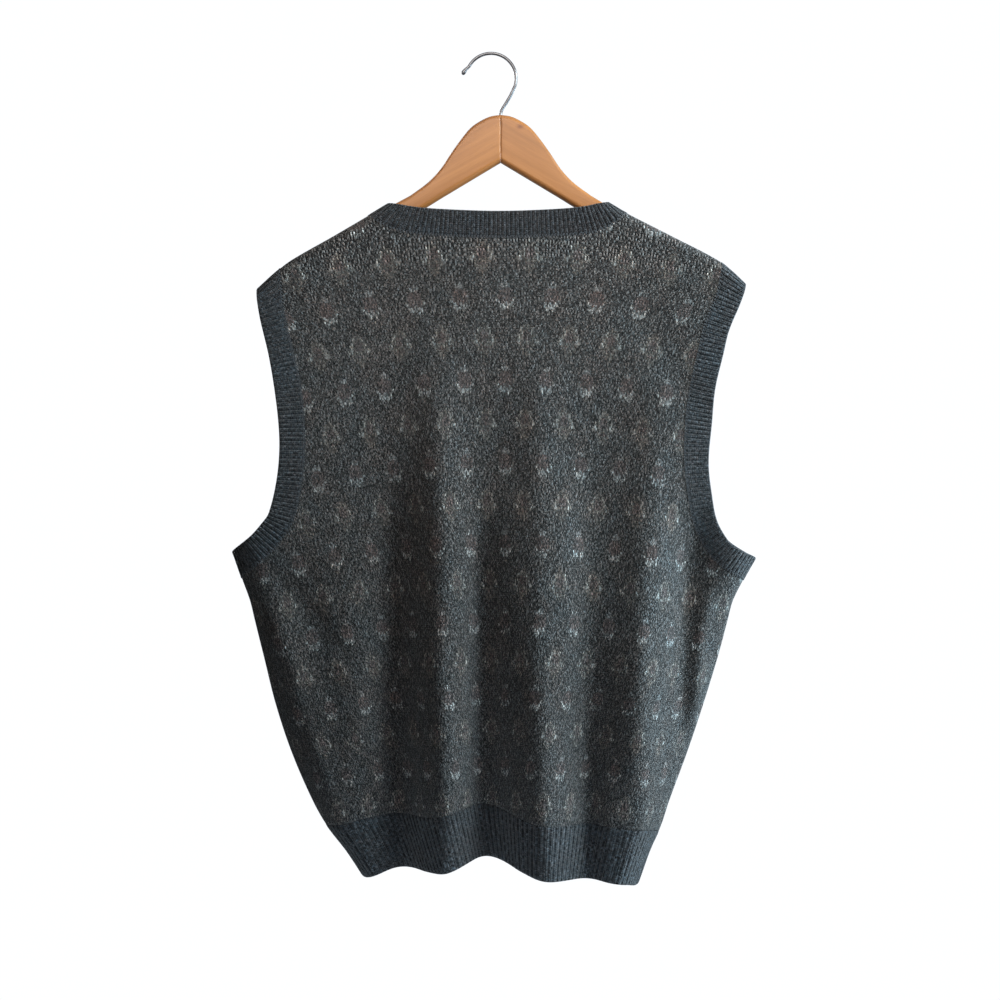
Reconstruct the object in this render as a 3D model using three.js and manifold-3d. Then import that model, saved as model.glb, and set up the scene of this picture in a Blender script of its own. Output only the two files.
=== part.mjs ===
// Knitted sweater vest hanging on a wooden clothes hanger, in millimetres.
// +Z is up and +X is to the right of someone looking at the vest's back, which faces -Y.
// The origin is the inner top of the hanger's hook, where a rail or a peg carries it.
import * as THREE from 'three';
import Module from 'manifold-3d';
import { mergeVertices } from 'three/addons/utils/BufferGeometryUtils.js';

// Cloth sizes
const clothWall = 2.4;
const seamGap = 0.3;
const neckRibPitch = 4.35;
const armholeRibPitch = 4.35;
const hemRibPitch = 5.5;
const bandRibHeight = 0.9;
const hemRibHeight = 1.0;
const hemRibDrop = 52;
const shoulderRound = 10;
const sideRound = 34;
const shoulderLean = 0.87; // cosine of the shoulder's slope, turns a drop into a distance
const slopeStep = 0.5; // half of the step over which the cloth's slope is taken, on each side

// Hanger sizes
const hangerX = 9.6;
const hangerHalfSpan = 218;
const woodHalfThickness = 5.8;
const woodClearance = 0.7;
const woodEndRound = 9;
const hookWireRadius = 1.6;
const hookBendRadius = 25;
const hookLeaveAngle = -25; // degrees round the bend, where the wire joins it
const hookTipAngle = 152; // degrees round the bend, where the tip's flare begins
const hookBendSteps = 20;
const hookSides = 8;
const boreSides = 12;
const boreAboveStem = 20;
const stemFoot = -98;
const stemTop = -60.4;

// Top of the cloth along both shoulders; the line runs on over the neck, which is open
const shoulderLine = [
  { x: -234, z: -235 },
  { x: -214, z: -216.5 },
  { x: -199, z: -205 },
  { x: -157, z: -181 },
  { x: -122, z: -160.5 },
  { x: -102, z: -148.5 },
  { x: 8, z: -88 },
  { x: 117, z: -147.5 },
  { x: 135, z: -158 },
  { x: 180, z: -181 },
  { x: 226, z: -205 },
  { x: 241, z: -217 },
  { x: 254.7, z: -230 },
];

// Side seams, carried on in a straight line above the underarms
const sideSeam = [
  { z: -200, left: -350, right: 404 },
  { z: -440, left: -276, right: 300 },
  { z: -496, left: -258.5, right: 268.3 },
  { z: -502.6, left: -256.1, right: 264.6 },
  { z: -524, left: -248.7, right: 252.5 },
  { z: -545, left: -241, right: 242 },
  { z: -565, left: -236, right: 236.5 },
  { z: -601, left: -227, right: 227 },
  { z: -649, left: -215, right: 212 },
  { z: -697, left: -199, right: 196 },
  { z: -745, left: -178, right: 178 },
  { z: -769, left: -164, right: 170 },
  { z: -793, left: -145, right: 159 },
  { z: -817, left: -129, right: 150 },
  { z: -829, left: -122, right: 145.5 },
];

// Armholes: where the band is sewn on, its free edge, and how far the front's stands out past the back's
const leftArmhole = [
  { seamZ: -214.5, seamX: -211, edgeX: -234, edgeZ: -235, frontOut: 0 },
  { seamZ: -258, seamX: -205.5, edgeX: -229, edgeZ: -265, frontOut: 0 },
  { seamZ: -296, seamX: -197, edgeX: -220, edgeZ: -302, frontOut: 0 },
  { seamZ: -337, seamX: -188, edgeX: -213.5, edgeZ: -340, frontOut: 0 },
  { seamZ: -385, seamX: -184.5, edgeX: -209, edgeZ: -385, frontOut: 0 },
  { seamZ: -422, seamX: -186.5, edgeX: -211, edgeZ: -421, frontOut: 0 },
  { seamZ: -464, seamX: -195, edgeX: -219, edgeZ: -457, frontOut: 0 },
  { seamZ: -484, seamX: -207, edgeX: -227, edgeZ: -469, frontOut: 0 },
  { seamZ: -499, seamX: -220, edgeX: -238, edgeZ: -481, frontOut: 0 },
  { seamZ: -522, seamX: -249.4, edgeX: -258.5, edgeZ: -496, frontOut: 0 },
];
const rightArmhole = [
  { seamZ: -208.5, seamX: 231, edgeX: 254.7, edgeZ: -230, frontOut: 0 },
  { seamZ: -241, seamX: 224, edgeX: 247, edgeZ: -251, frontOut: 0 },
  { seamZ: -269, seamX: 212.5, edgeX: 236, edgeZ: -277, frontOut: 0 },
  { seamZ: -296, seamX: 206, edgeX: 230, edgeZ: -301, frontOut: 0 },
  { seamZ: -328, seamX: 198.5, edgeX: 222, edgeZ: -334, frontOut: 0 },
  { seamZ: -364, seamX: 193, edgeX: 218.5, edgeZ: -368, frontOut: 0 },
  { seamZ: -410, seamX: 191.5, edgeX: 215, edgeZ: -409, frontOut: 1.5 },
  { seamZ: -447, seamX: 196, edgeX: 218.7, edgeZ: -444, frontOut: 3 },
  { seamZ: -473, seamX: 202.5, edgeX: 223, edgeZ: -465, frontOut: 4 },
  { seamZ: -495, seamX: 214, edgeX: 231.7, edgeZ: -481.6, frontOut: 4.5 },
  { seamZ: -509, seamX: 227, edgeX: 241, edgeZ: -491.6, frontOut: 4 },
  { seamZ: -524, seamX: 252.5, edgeX: 264.6, edgeZ: -502.6, frontOut: 0 },
];

// Neck: sewn edge and free edge of the ribbed band, across the back and down each half of the front's V
const backNeck = [
  { seamX: -122, seamZ: -160.5, edgeX: -102, edgeZ: -148.5 },
  { seamX: -108, seamZ: -170, edgeX: -92, edgeZ: -150.5 },
  { seamX: -88, seamZ: -177.5, edgeX: -78, edgeZ: -153 },
  { seamX: -54, seamZ: -181.5, edgeX: -51, edgeZ: -155.5 },
  { seamX: 9, seamZ: -183.5, edgeX: 9, edgeZ: -157.5 },
  { seamX: 71, seamZ: -181.5, edgeX: 69, edgeZ: -155.3 },
  { seamX: 103, seamZ: -178.5, edgeX: 95, edgeZ: -152.5 },
  { seamX: 121, seamZ: -170, edgeX: 108, edgeZ: -149.5 },
  { seamX: 135, seamZ: -158, edgeX: 117, edgeZ: -147.5 },
];
const frontNeckLeft = [
  { seamX: -122, seamZ: -160.5, edgeX: -102, edgeZ: -148.5 },
  { seamX: -104, seamZ: -197, edgeX: -81, edgeZ: -185 },
  { seamX: -51, seamZ: -299, edgeX: -28, edgeZ: -286 },
  { seamX: 8, seamZ: -400, edgeX: 8, edgeZ: -350 },
];
const frontNeckRight = [
  { seamX: 8, seamZ: -400, edgeX: 8, edgeZ: -350 },
  { seamX: 67, seamZ: -298, edgeX: 44, edgeZ: -285 },
  { seamX: 118, seamZ: -195, edgeX: 95, edgeZ: -183 },
  { seamX: 135, seamZ: -158, edgeX: 117, edgeZ: -147.5 },
];

// Lower edge of the waist rib, lifted between the folds
const backHem = [
  { x: -127, z: -819 },
  { x: -88, z: -806.5 },
  { x: -45, z: -804.5 },
  { x: -1, z: -794 },
  { x: 46, z: -808.5 },
  { x: 94, z: -812 },
  { x: 132, z: -818 },
  { x: 146.5, z: -826 },
];
const frontHem = [
  { x: -127, z: -819 },
  { x: -92, z: -807 },
  { x: -40, z: -800 },
  { x: 8, z: -803 },
  { x: 58, z: -799 },
  { x: 105, z: -809 },
  { x: 146.5, z: -826 },
];

// Half depth of the hanging vest between its folds
const halfDepth = [
  { z: -140, back: 10.6, front: 10.6 },
  { z: -205, back: 11, front: 11 },
  { z: -260, back: 15, front: 16 },
  { z: -340, back: 20, front: 23 },
  { z: -450, back: 23, front: 27 },
  { z: -600, back: 23, front: 26 },
  { z: -720, back: 23, front: 25 },
  { z: -830, back: 23, front: 25 },
];

// Folds: ridge line from its start to its foot, height at the foot, reach to each side,
// the drop over which it grows, and the drop below its foot over which it dies out (0 runs to the hem)
const backFolds = [
  { xTop: -152, zTop: -400, xFoot: -122, zFoot: -810, height: 15, reach: 32, grow: 300, fade: 0 },
  { xTop: -54, zTop: -325, xFoot: -43, zFoot: -810, height: 42, reach: 28, grow: 420, fade: 0 },
  { xTop: 40, zTop: -335, xFoot: 51, zFoot: -810, height: 43, reach: 30, grow: 430, fade: 0 },
  { xTop: 158, zTop: -360, xFoot: 134, zFoot: -810, height: 40, reach: 30, grow: 340, fade: 0 },
  { xTop: 196, zTop: -425, xFoot: 216, zFoot: -590, height: -8, reach: 19, grow: 90, fade: 70 },
];
const frontFolds = [
  { xTop: -150, zTop: -420, xFoot: -108, zFoot: -810, height: 26, reach: 30, grow: 330, fade: 0 },
  { xTop: -40, zTop: -410, xFoot: -22, zFoot: -810, height: 33, reach: 31, grow: 340, fade: 0 },
  { xTop: 68, zTop: -400, xFoot: 58, zFoot: -810, height: 36, reach: 28, grow: 360, fade: 0 },
  { xTop: 166, zTop: -430, xFoot: 122, zFoot: -810, height: 20, reach: 26, grow: 300, fade: 0 },
  { xTop: -178, zTop: -440, xFoot: -200, zFoot: -590, height: -7, reach: 19, grow: 90, fade: 70 },
];

// Where a panel's columns and rows lie, as shares of its width and of its upper and lower stretch
const shoulderShare = 0.2;
const sideColumns = [0, 0.007, 0.025, 0.06, 0.105, 0.152];
const coreShare = 0.105;
const halfNeckColumns = [0, 0.008, 0.031, 0.075, 0.16, 0.3, 0.47, 0.64, 0.82];
const upperRows = [0, 0.008, 0.028, 0.065, 0.12, 0.2, 0.3, 0.42, 0.56, 0.7, 0.85];
const chestZ = -425;
const lowerRows = [0, 0.073, 0.132, 0.178, 0.2164, 0.2456, 0.266, 0.2778, 0.2836,
  0.336, 0.409, 0.512, 0.629, 0.746, 0.8626, 1];

// Colours
const panelColour = 0x3d4347;
const ribColour = 0x2b333c;
const woodColour = 0xd7a06e;
const steelColour = 0xc9cccf;

// Sums and curves
const mix = (a, b, share) => a + (b - a) * share;
const limit = (value, low, high) => Math.min(high, Math.max(low, value));
const ease = (share) => share * share * (3 - 2 * share);
const plus = (p, q, scale = 1) => [p[0] + q[0] * scale, p[1] + q[1] * scale, p[2] + q[2] * scale];
const minus = (p, q) => plus(p, q, -1);
const size = (p) => Math.hypot(p[0], p[1], p[2]);
const unit = (p) => p.map((value) => value / (size(p) || 1));
const mixPoints = (p, q, share) => [0, 1, 2].map((axis) => mix(p[axis], q[axis], share));

// Smooth curve through a table's rows, straight beyond both ends
function curveThrough(rows, key, value) {
  const table = [...rows].sort((a, b) => a[key] - b[key]);
  const last = table.length - 1;
  const rise = (i, j) => (table[j][value] - table[i][value]) / (table[j][key] - table[i][key]);
  const slope = table.map((row, i) => rise(Math.max(i - 1, 0), Math.min(i + 1, last)));
  return (at) => {
    if (at <= table[0][key]) return table[0][value] + rise(0, 1) * (at - table[0][key]);
    if (at >= table[last][key]) return table[last][value] + rise(last - 1, last) * (at - table[last][key]);
    let i = 0;
    while (table[i + 1][key] < at) i += 1;
    const span = table[i + 1][key] - table[i][key];
    const t = (at - table[i][key]) / span;
    const bend = t * (1 - t) * span * (slope[i] * (1 - t) - slope[i + 1] * t);
    const lineBend = t * (1 - t) * (1 - 2 * t) * (table[i + 1][value] - table[i][value]);
    return mix(table[i][value], table[i + 1][value], t) + bend - lineBend;
  };
}

const shoulderZ = curveThrough(shoulderLine, 'x', 'z');
const sideX = { left: curveThrough(sideSeam, 'z', 'left'), right: curveThrough(sideSeam, 'z', 'right') };
const hemZ = { back: curveThrough(backHem, 'x', 'z'), front: curveThrough(frontHem, 'x', 'z') };
const depthZ = { back: curveThrough(halfDepth, 'z', 'back'), front: curveThrough(halfDepth, 'z', 'front') };
const folds = { back: backFolds, front: frontFolds };
const facing = { back: -1, front: 1 };

function armholeCurves(rows) {
  const byZ = (value) => curveThrough(rows, 'seamZ', value);
  return {
    top: rows[0].seamZ,
    foot: rows[rows.length - 1].seamZ,
    seamX: byZ('seamX'),
    edgeX: byZ('edgeX'),
    edgeZ: byZ('edgeZ'),
    frontOut: byZ('frontOut'),
  };
}
const armhole = { left: armholeCurves(leftArmhole), right: armholeCurves(rightArmhole) };

function neckCurves(rows) {
  const byX = (value) => curveThrough(rows, 'seamX', value);
  return { seamZ: byX('seamZ'), edgeX: byX('edgeX'), edgeZ: byX('edgeZ') };
}
const neckHalves = {
  back: neckCurves(backNeck),
  left: neckCurves(frontNeckLeft),
  right: neckCurves(frontNeckRight),
};
const neckPoint = frontNeckRight[0].seamX;
const neckLeft = backNeck[0].seamX;
const neckRight = backNeck[backNeck.length - 1].seamX;

function neckAt(face, seamX) {
  const front = seamX < neckPoint ? neckHalves.left : neckHalves.right;
  const half = face === 'back' ? neckHalves.back : front;
  return { seamZ: half.seamZ(seamX), edgeX: half.edgeX(seamX), edgeZ: half.edgeZ(seamX) };
}

// The cloth's outer face: its distance from the middle plane, squared, over any point of the outline
const roundOff = (distance, radius) => 1 - (1 - Math.min(distance, radius) / radius) ** 2;

function foldDepth(fold, x, z) {
  const down = limit((fold.zTop - z) / fold.grow, 0, 1);
  const past = fold.fade > 0 ? limit((fold.zFoot - z) / fold.fade, 0, 1) : 0;
  const centre = mix(fold.xTop, fold.xFoot, (fold.zTop - z) / (fold.zTop - fold.zFoot));
  const across = (x - centre) / fold.reach;
  return fold.height * ease(down) * (1 - ease(past)) * Math.exp(-across * across);
}

function squaredDepth(face, x, z) {
  const belowShoulder = roundOff((shoulderZ(x) - z) * shoulderLean, shoulderRound);
  const fromLeft = roundOff(x - sideX.left(z), sideRound);
  const fromRight = roundOff(sideX.right(z) - x, sideRound);
  const depth = folds[face].reduce((sum, fold) => sum + foldDepth(fold, x, z), depthZ[face](z));
  return belowShoulder * fromLeft * fromRight * depth * depth;
}

// A point of the outer face with its outward direction
function clothPoint(face, x, z) {
  const y = facing[face] * Math.sqrt(Math.max(squaredDepth(face, x, z), 0));
  const slope = (dx, dz) => squaredDepth(face, x + dx, z + dz) - squaredDepth(face, x - dx, z - dz);
  const alongX = slope(slopeStep, 0) / (2 * slopeStep);
  const alongZ = slope(0, slopeStep) / (2 * slopeStep);
  return { at: [x, y, z], out: unit([-alongX, 2 * y, -alongZ]) };
}

// Closed wall from its outer rows and its inner rows; ribbed walls have two outer columns to one inner
function closedWall(outerRows, innerRows, ring) {
  const vertices = [];
  const triangles = [];
  const place = (rows) => rows.map((row) => row.map((point) => vertices.push(...point) / 3 - 1));
  const outer = place(outerRows);
  const inner = place(innerRows);
  const fine = (outer[0].length - (ring ? 0 : 1)) / (inner[0].length - (ring ? 0 : 1));
  const quad = (a, b, c, d) => triangles.push([a, b, c], [a, c, d]);
  const faceOf = (rows, turned) => {
    for (let r = 0; r + 1 < rows.length; r += 1) {
      const count = rows[r].length;
      for (let c = 0; c < (ring ? count : count - 1); c += 1) {
        const next = (c + 1) % count;
        const [a, b, d, e] = [rows[r][c], rows[r][next], rows[r + 1][next], rows[r + 1][c]];
        const halves = turned ? [[a, d, b], [a, e, d]] : [[a, b, d], [a, d, e]];
        triangles.push(...halves);
      }
    }
  };
  const rim = (outerRow, innerRow, turned) => {
    const count = ring ? innerRow.length : innerRow.length - 1;
    for (let c = 0; c < count; c += 1) {
      const near = innerRow[c];
      const far = innerRow[(c + 1) % innerRow.length];
      const steps = [];
      for (let k = 0; k <= fine; k += 1) steps.push(outerRow[(c * fine + k) % outerRow.length]);
      const fans = fine === 1
        ? [[steps[0], near, steps[1]], [steps[1], near, far]]
        : [[steps[0], near, steps[1]], [steps[1], near, far], [steps[1], far, steps[2]]];
      fans.forEach((fan) => triangles.push(turned ? fan.reverse() : fan));
    }
  };
  faceOf(outer, false);
  faceOf(inner, true);
  rim(outer[0], inner[0], false);
  rim(outer[outer.length - 1], inner[inner.length - 1], true);
  if (!ring) {
    for (let r = 0; r + 1 < outer.length; r += 1) {
      const lastOuter = outer[r].length - 1;
      const lastInner = inner[r].length - 1;
      quad(outer[r][0], outer[r + 1][0], inner[r + 1][0], inner[r][0]);
      quad(outer[r][lastOuter], inner[r][lastInner], inner[r + 1][lastInner], outer[r + 1][lastOuter]);
    }
  }
  return closedGeometry(vertices, triangles);
}

// Geometry from shared vertices, turned so that its faces point out
function closedGeometry(vertices, triangles) {
  let volume = 0;
  const at = (i) => new THREE.Vector3(vertices[3 * i], vertices[3 * i + 1], vertices[3 * i + 2]);
  triangles.forEach(([a, b, c]) => {
    volume += at(a).dot(at(b).cross(at(c)));
  });
  const geometry = new THREE.BufferGeometry();
  geometry.setAttribute('position', new THREE.Float32BufferAttribute(vertices, 3));
  geometry.setIndex(triangles.flatMap(([a, b, c]) => (volume > 0 ? [a, b, c] : [a, c, b])));
  geometry.computeVertexNormals();
  return geometry;
}

// Panels: rows of seam-to-seam points, shared with the bands that are sewn to them
const armholeOrSide = (side, z) => (z > armhole[side].foot ? armhole[side].seamX(z) : sideX[side](z));
const hemEnds = { left: backHem[0], right: backHem[backHem.length - 1] };
const hemX = (share) => mix(hemEnds.left.x, hemEnds.right.x, share);
const hemSeamZ = (face, share) => hemZ[face](hemX(share)) + hemRibDrop;

const leftColumns = [...sideColumns, ...halfNeckColumns.map((share) => mix(shoulderShare, 0.5, share))];
const columns = [...leftColumns, 0.5, ...[...leftColumns].reverse().map((share) => 1 - share)];
const neckFrom = sideColumns.length;
const neckTo = columns.length - 1 - neckFrom;

// Upper edge of a panel: left shoulder, neck, right shoulder
function topEdge(face, share) {
  if (share < shoulderShare) {
    const x = mix(leftArmhole[0].seamX, neckLeft, share / shoulderShare);
    return [x, shoulderZ(x)];
  }
  if (share > 1 - shoulderShare) {
    const x = mix(rightArmhole[0].seamX, neckRight, (1 - share) / shoulderShare);
    return [x, shoulderZ(x)];
  }
  const across = (share - shoulderShare) / (1 - 2 * shoulderShare);
  const x = across < 0.5 ? mix(neckLeft, neckPoint, 2 * across) : mix(neckPoint, neckRight, 2 * across - 1);
  return [x, neckAt(face, x).seamZ];
}

// Inner columns follow a calmed outline, so that only the outer ones swing out to the underarm
const calmOffsets = [-60, -30, 0, 30, 60];
const calmEdge = (side, z) => calmOffsets.reduce(
  (sum, offset) => sum + armholeOrSide(side, z + offset) / calmOffsets.length, 0);

function acrossX(share, zLeft, zRight) {
  const ends = [armholeOrSide('left', zLeft), armholeOrSide('right', zRight)];
  const calm = [calmEdge('left', zLeft), calmEdge('right', zRight)];
  const core = [mix(calm[0], calm[1], coreShare), mix(calm[1], calm[0], coreShare)];
  if (share < coreShare) return mix(ends[0], core[0], share / coreShare);
  if (share > 1 - coreShare) return mix(ends[1], core[1], (1 - share) / coreShare);
  return mix(core[0], core[1], (share - coreShare) / (1 - 2 * coreShare));
}

function outlineRow(zAt) {
  return columns.map((share) => [acrossX(share, zAt(0), zAt(1)), zAt(share)]);
}

function panelRows(face) {
  const chest = outlineRow(() => chestZ);
  const rows = upperRows.map((down) => {
    const left = armhole.left.seamX(mix(armhole.left.top, chestZ, down));
    const right = armhole.right.seamX(mix(armhole.right.top, chestZ, down));
    const bow = [
      left - mix(topEdge(face, 0)[0], chest[0][0], down),
      right - mix(topEdge(face, 1)[0], chest[columns.length - 1][0], down),
    ];
    return columns.map((share, c) => {
      const top = topEdge(face, share);
      return [mix(top[0], chest[c][0], down) + mix(bow[0], bow[1], share), mix(top[1], chestZ, down)];
    });
  });
  lowerRows.forEach((down) => rows.push(outlineRow((share) => mix(chestZ, hemSeamZ(face, share), down))));
  return rows.map((row) => row.map(([x, z]) => keptApart(face, clothPoint(face, x, z))));
}

// Front and back stay a seam's gap apart along the shoulders and sides
function keptApart(face, point) {
  const side = facing[face];
  const apart = (y) => side * Math.max(side * y, seamGap / 2);
  const within = plus(point.at, point.out, -clothWall);
  const outer = [point.at[0], apart(point.at[1]), point.at[2]];
  const inner = [within[0], apart(within[1]), within[2]];
  return { outer, inner, out: point.out };
}

const panelGrid = { back: panelRows('back'), front: panelRows('front') };

function panelGeometry(face) {
  const outer = panelGrid[face].map((row) => row.map((point) => point.outer));
  const inner = panelGrid[face].map((row) => row.map((point) => point.inner));
  return closedWall(outer, inner, false);
}

// Even stations along a run of seam points; the nearest one moves onto each point, sharp corners first
function stationsAlong(points, count, closed) {
  const run = closed ? [...points, points[0]] : points;
  const reached = [0];
  for (let i = 1; i < run.length; i += 1) {
    reached.push(reached[i - 1] + size(minus(run[i].outer, run[i - 1].outer)));
  }
  const whole = reached[reached.length - 1];
  const places = [];
  for (let k = 0; k < count + (closed ? 0 : 1); k += 1) places.push((whole * k) / count);
  const corners = [];
  for (let i = 1; i + 1 < run.length; i += 1) {
    const before = unit(minus(run[i].outer, run[i - 1].outer));
    const after = unit(minus(run[i + 1].outer, run[i].outer));
    corners.push({ at: reached[i], turn: size(minus(after, before)) });
  }
  corners.sort((a, b) => b.turn - a.turn);
  const taken = new Set([0, count]);
  corners.forEach(({ at }) => {
    const k = Math.round((at * count) / whole);
    if (!taken.has(k)) places[k] = at;
    taken.add(k);
  });
  let i = 0;
  return places.map((at) => {
    while (i < run.length - 2 && reached[i + 1] <= at) i += 1;
    return { from: run[i], to: run[i + 1], share: (at - reached[i]) / (reached[i + 1] - reached[i]) };
  });
}

// Where a closed band passes from back to front its two seam points become one
function joinedEnds(backPoints, frontPoints) {
  const joined = (p, q) => ({
    ...p,
    joint: true,
    outer: mixPoints(p.outer, q.outer, 0.5),
    inner: mixPoints(p.inner, q.inner, 0.5),
    out: unit(mixPoints(p.out, q.out, 0.5)),
  });
  const lastBack = backPoints[backPoints.length - 1];
  const lastFront = frontPoints[frontPoints.length - 1];
  return [
    joined(backPoints[0], lastFront),
    ...backPoints.slice(1, -1),
    joined(lastBack, frontPoints[0]),
    ...frontPoints.slice(1, -1),
  ];
}
const runLength = (points) => points.reduce(
  (sum, point, i) => sum + (i ? size(minus(point.outer, points[i - 1].outer)) : 0), 0);

// A ribbed strip: its first row is sewn to the panels, the others follow the cloth's face
function ribbedStrip(points, ribCount, ribHeight, closed, laterRows) {
  const stations = stationsAlong(points, 2 * ribCount, closed);
  const outerRows = [];
  const innerRows = [];
  const rise = (i) => (i % 2 === 1 ? ribHeight : 0);
  const later = stations.map((station) => laterRows(station));
  const sewn = stations.map((station, i) => {
    const outer = mixPoints(station.from.outer, station.to.outer, station.share);
    const inner = mixPoints(station.from.inner, station.to.inner, station.share);
    const out = mixPoints(station.from.out, station.to.out, station.share);
    const away = unit(minus(later[i][0].outer, outer));
    return { outer: plus(outer, away, seamGap), inner: plus(inner, away, seamGap), out };
  });
  const rows = [sewn];
  for (let r = 0; r < later[0].length; r += 1) rows.push(later.map((column) => column[r]));
  rows.forEach((row) => {
    outerRows.push(row.map((point, i) => plus(point.outer, point.out, rise(i))));
    innerRows.push(row.filter((point, i) => i % 2 === 0).map((point) => point.inner));
  });
  return closedWall(outerRows, innerRows, closed);
}

// A station just past a joined end lies on the face of its further point
const faceBetween = ({ from, to }) => (from.joint ? to.face : from.face);

function bandPoint(face, x, z) {
  const point = clothPoint(face, x, z);
  return { outer: point.at, inner: plus(point.at, point.out, -clothWall), out: point.out };
}

// Waist rib of one panel
function hemGeometry(face) {
  const seam = panelGrid[face][panelGrid[face].length - 1];
  const points = seam.map((point, c) => ({ ...point, share: columns[c] }));
  const ribCount = Math.round(runLength(points) / hemRibPitch);
  return ribbedStrip(points, ribCount, hemRibHeight, false, (station) => {
    const share = mix(station.from.share, station.to.share, station.share);
    return [0.5, 1].map((down) => {
      const zAt = (at) => hemZ[face](hemX(at)) + hemRibDrop * (1 - down);
      return keptApart(face, clothPoint(face, acrossX(share, zAt(0), zAt(1)), zAt(share)));
    });
  });
}

// Armhole band: down the back, under the arm and up the front
function armholeGeometry(side) {
  const column = side === 'left' ? 0 : columns.length - 1;
  const curves = armhole[side];
  const sewnTo = (face) => panelGrid[face]
    .map((row) => ({ ...row[column], face, z: row[column].outer[2] }))
    .filter((point) => point.z > curves.foot - 0.01);
  const points = joinedEnds(sewnTo('back'), sewnTo('front').reverse());
  const ribCount = Math.round(runLength([...points, points[0]]) / armholeRibPitch);
  return ribbedStrip(points, ribCount, bandRibHeight, true, (station) => {
    const face = faceBetween(station);
    const z = mix(station.from.z, station.to.z, station.share);
    const edge = [curves.edgeX(z), curves.edgeZ(z)];
    const across = [edge[0] - curves.seamX(z), edge[1] - z];
    const width = Math.hypot(...across);
    const shift = face === 'front' ? Math.max(curves.frontOut(z), 0) / width : 0;
    return [bandPoint(face, edge[0] + across[0] * shift, edge[1] + across[1] * shift)];
  });
}

// Neckband: across the back and round the front's V
function neckGeometry() {
  const sewnTo = (face) => panelGrid[face][0]
    .slice(neckFrom, neckTo + 1)
    .map((point) => ({ ...point, face, x: point.outer[0] }));
  const points = joinedEnds(sewnTo('back'), sewnTo('front').reverse());
  const ribCount = Math.round(runLength([...points, points[0]]) / neckRibPitch);
  return ribbedStrip(points, ribCount, bandRibHeight, true, (station) => {
    const face = faceBetween(station);
    const edge = neckAt(face, mix(station.from.x, station.to.x, station.share));
    return [bandPoint(face, edge.edgeX, edge.edgeZ)];
  });
}

// A closed body through rings of points, its two ends closed by flat fans
function loft(rings) {
  const sides = rings[0].length;
  const vertices = rings.flat(2);
  const triangles = [];
  for (let r = 0; r + 1 < rings.length; r += 1) {
    for (let k = 0; k < sides; k += 1) {
      const next = (k + 1) % sides;
      const [a, b] = [r * sides + k, r * sides + next];
      triangles.push([a, b, b + sides], [a, b + sides, a + sides]);
    }
  }
  const last = (rings.length - 1) * sides;
  for (let k = 1; k + 1 < sides; k += 1) {
    triangles.push([0, k + 1, k], [last, last + k, last + k + 1]);
  }
  return closedGeometry(vertices, triangles);
}

// Bare middle of the hanger, measured outwards from its centre joint
const bareWood = [
  { out: 0, top: -60, under: -108 },
  { out: 10, top: -61.5, under: -114 },
  { out: 20, top: -66, under: -120 },
  { out: 30, top: -73, under: -126 },
  { out: 40, top: -85, under: -132 },
  { out: 50, top: -99, under: -138 },
  { out: 60, top: -114, under: -144 },
  { out: 72, top: -127, under: -151.5 },
  { out: 90, top: -140.5, under: -162.5 },
];
const sleevedWood = [113, 124, 140, 158, 176, 192, 204];
const woodArmHeight = { inner: 24, outer: 17, taperRun: 100 };
const woodSectionSteps = 6;
const woodEndTurns = [0.5, 0.8, 0.97]; // sections of the rounded end, as shares of its run

function armSection(x, top, under, thickness) {
  const ring = [];
  const radius = Math.min(thickness, (top - under) / 2);
  for (let k = 0; k <= woodSectionSteps; k += 1) {
    const angle = (Math.PI * k) / woodSectionSteps;
    ring.push([x, thickness * Math.cos(angle), top - radius + radius * Math.sin(angle)]);
  }
  for (let k = 0; k <= woodSectionSteps; k += 1) {
    const angle = Math.PI + (Math.PI * k) / woodSectionSteps;
    ring.push([x, thickness * Math.cos(angle), under + radius + radius * Math.sin(angle)]);
  }
  return ring;
}

// Under the cloth the wood's top follows the shoulder from below
function underCloth(x) {
  const slope = shoulderZ(x + 1) - shoulderZ(x);
  return shoulderZ(x) - (clothWall + woodClearance) * Math.hypot(1, slope);
}

function armGeometry(toward) {
  const jointGap = seamGap / 2;
  const rings = bareWood.map((row) => {
    const x = hangerX + toward * Math.max(row.out, jointGap);
    return armSection(x, row.top, row.under, woodHalfThickness);
  });
  const height = (out) => mix(woodArmHeight.inner, woodArmHeight.outer,
    (out - sleevedWood[0]) / woodArmHeight.taperRun);
  sleevedWood.forEach((out) => {
    const x = hangerX + toward * out;
    rings.push(armSection(x, underCloth(x), underCloth(x) - height(out), woodHalfThickness));
  });
  woodEndTurns.forEach((turn) => {
    const out = hangerHalfSpan - woodEndRound + woodEndRound * turn;
    const x = hangerX + toward * out;
    const share = Math.sqrt(1 - turn * turn);
    const drop = height(out) * (1 - share) / 2;
    const under = underCloth(x) - height(out) + drop;
    rings.push(armSection(x, underCloth(x) - drop, under, woodHalfThickness * share));
  });
  return loft(rings);
}

// Hook: where the wire turns from the stem to the bend, above the stem's top, and its flared, blunt tip
const hookLean = [
  { out: 0, up: 1 },
  { out: 0.6, up: 4 },
  { out: 2.4, up: 7.5 },
  { out: 6, up: 13 },
  { out: 9.8, up: 19.5 },
];
const hookFlare = [
  { x: -25.2, z: -14.4, radius: hookWireRadius },
  { x: -26.6, z: -16.4, radius: 2.2 },
  { x: -27.8, z: -18, radius: 2.2 },
  { x: -28.6, z: -19.1, radius: 1.65 },
  { x: -28.9, z: -19.5, radius: 0.66 },
];

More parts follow.
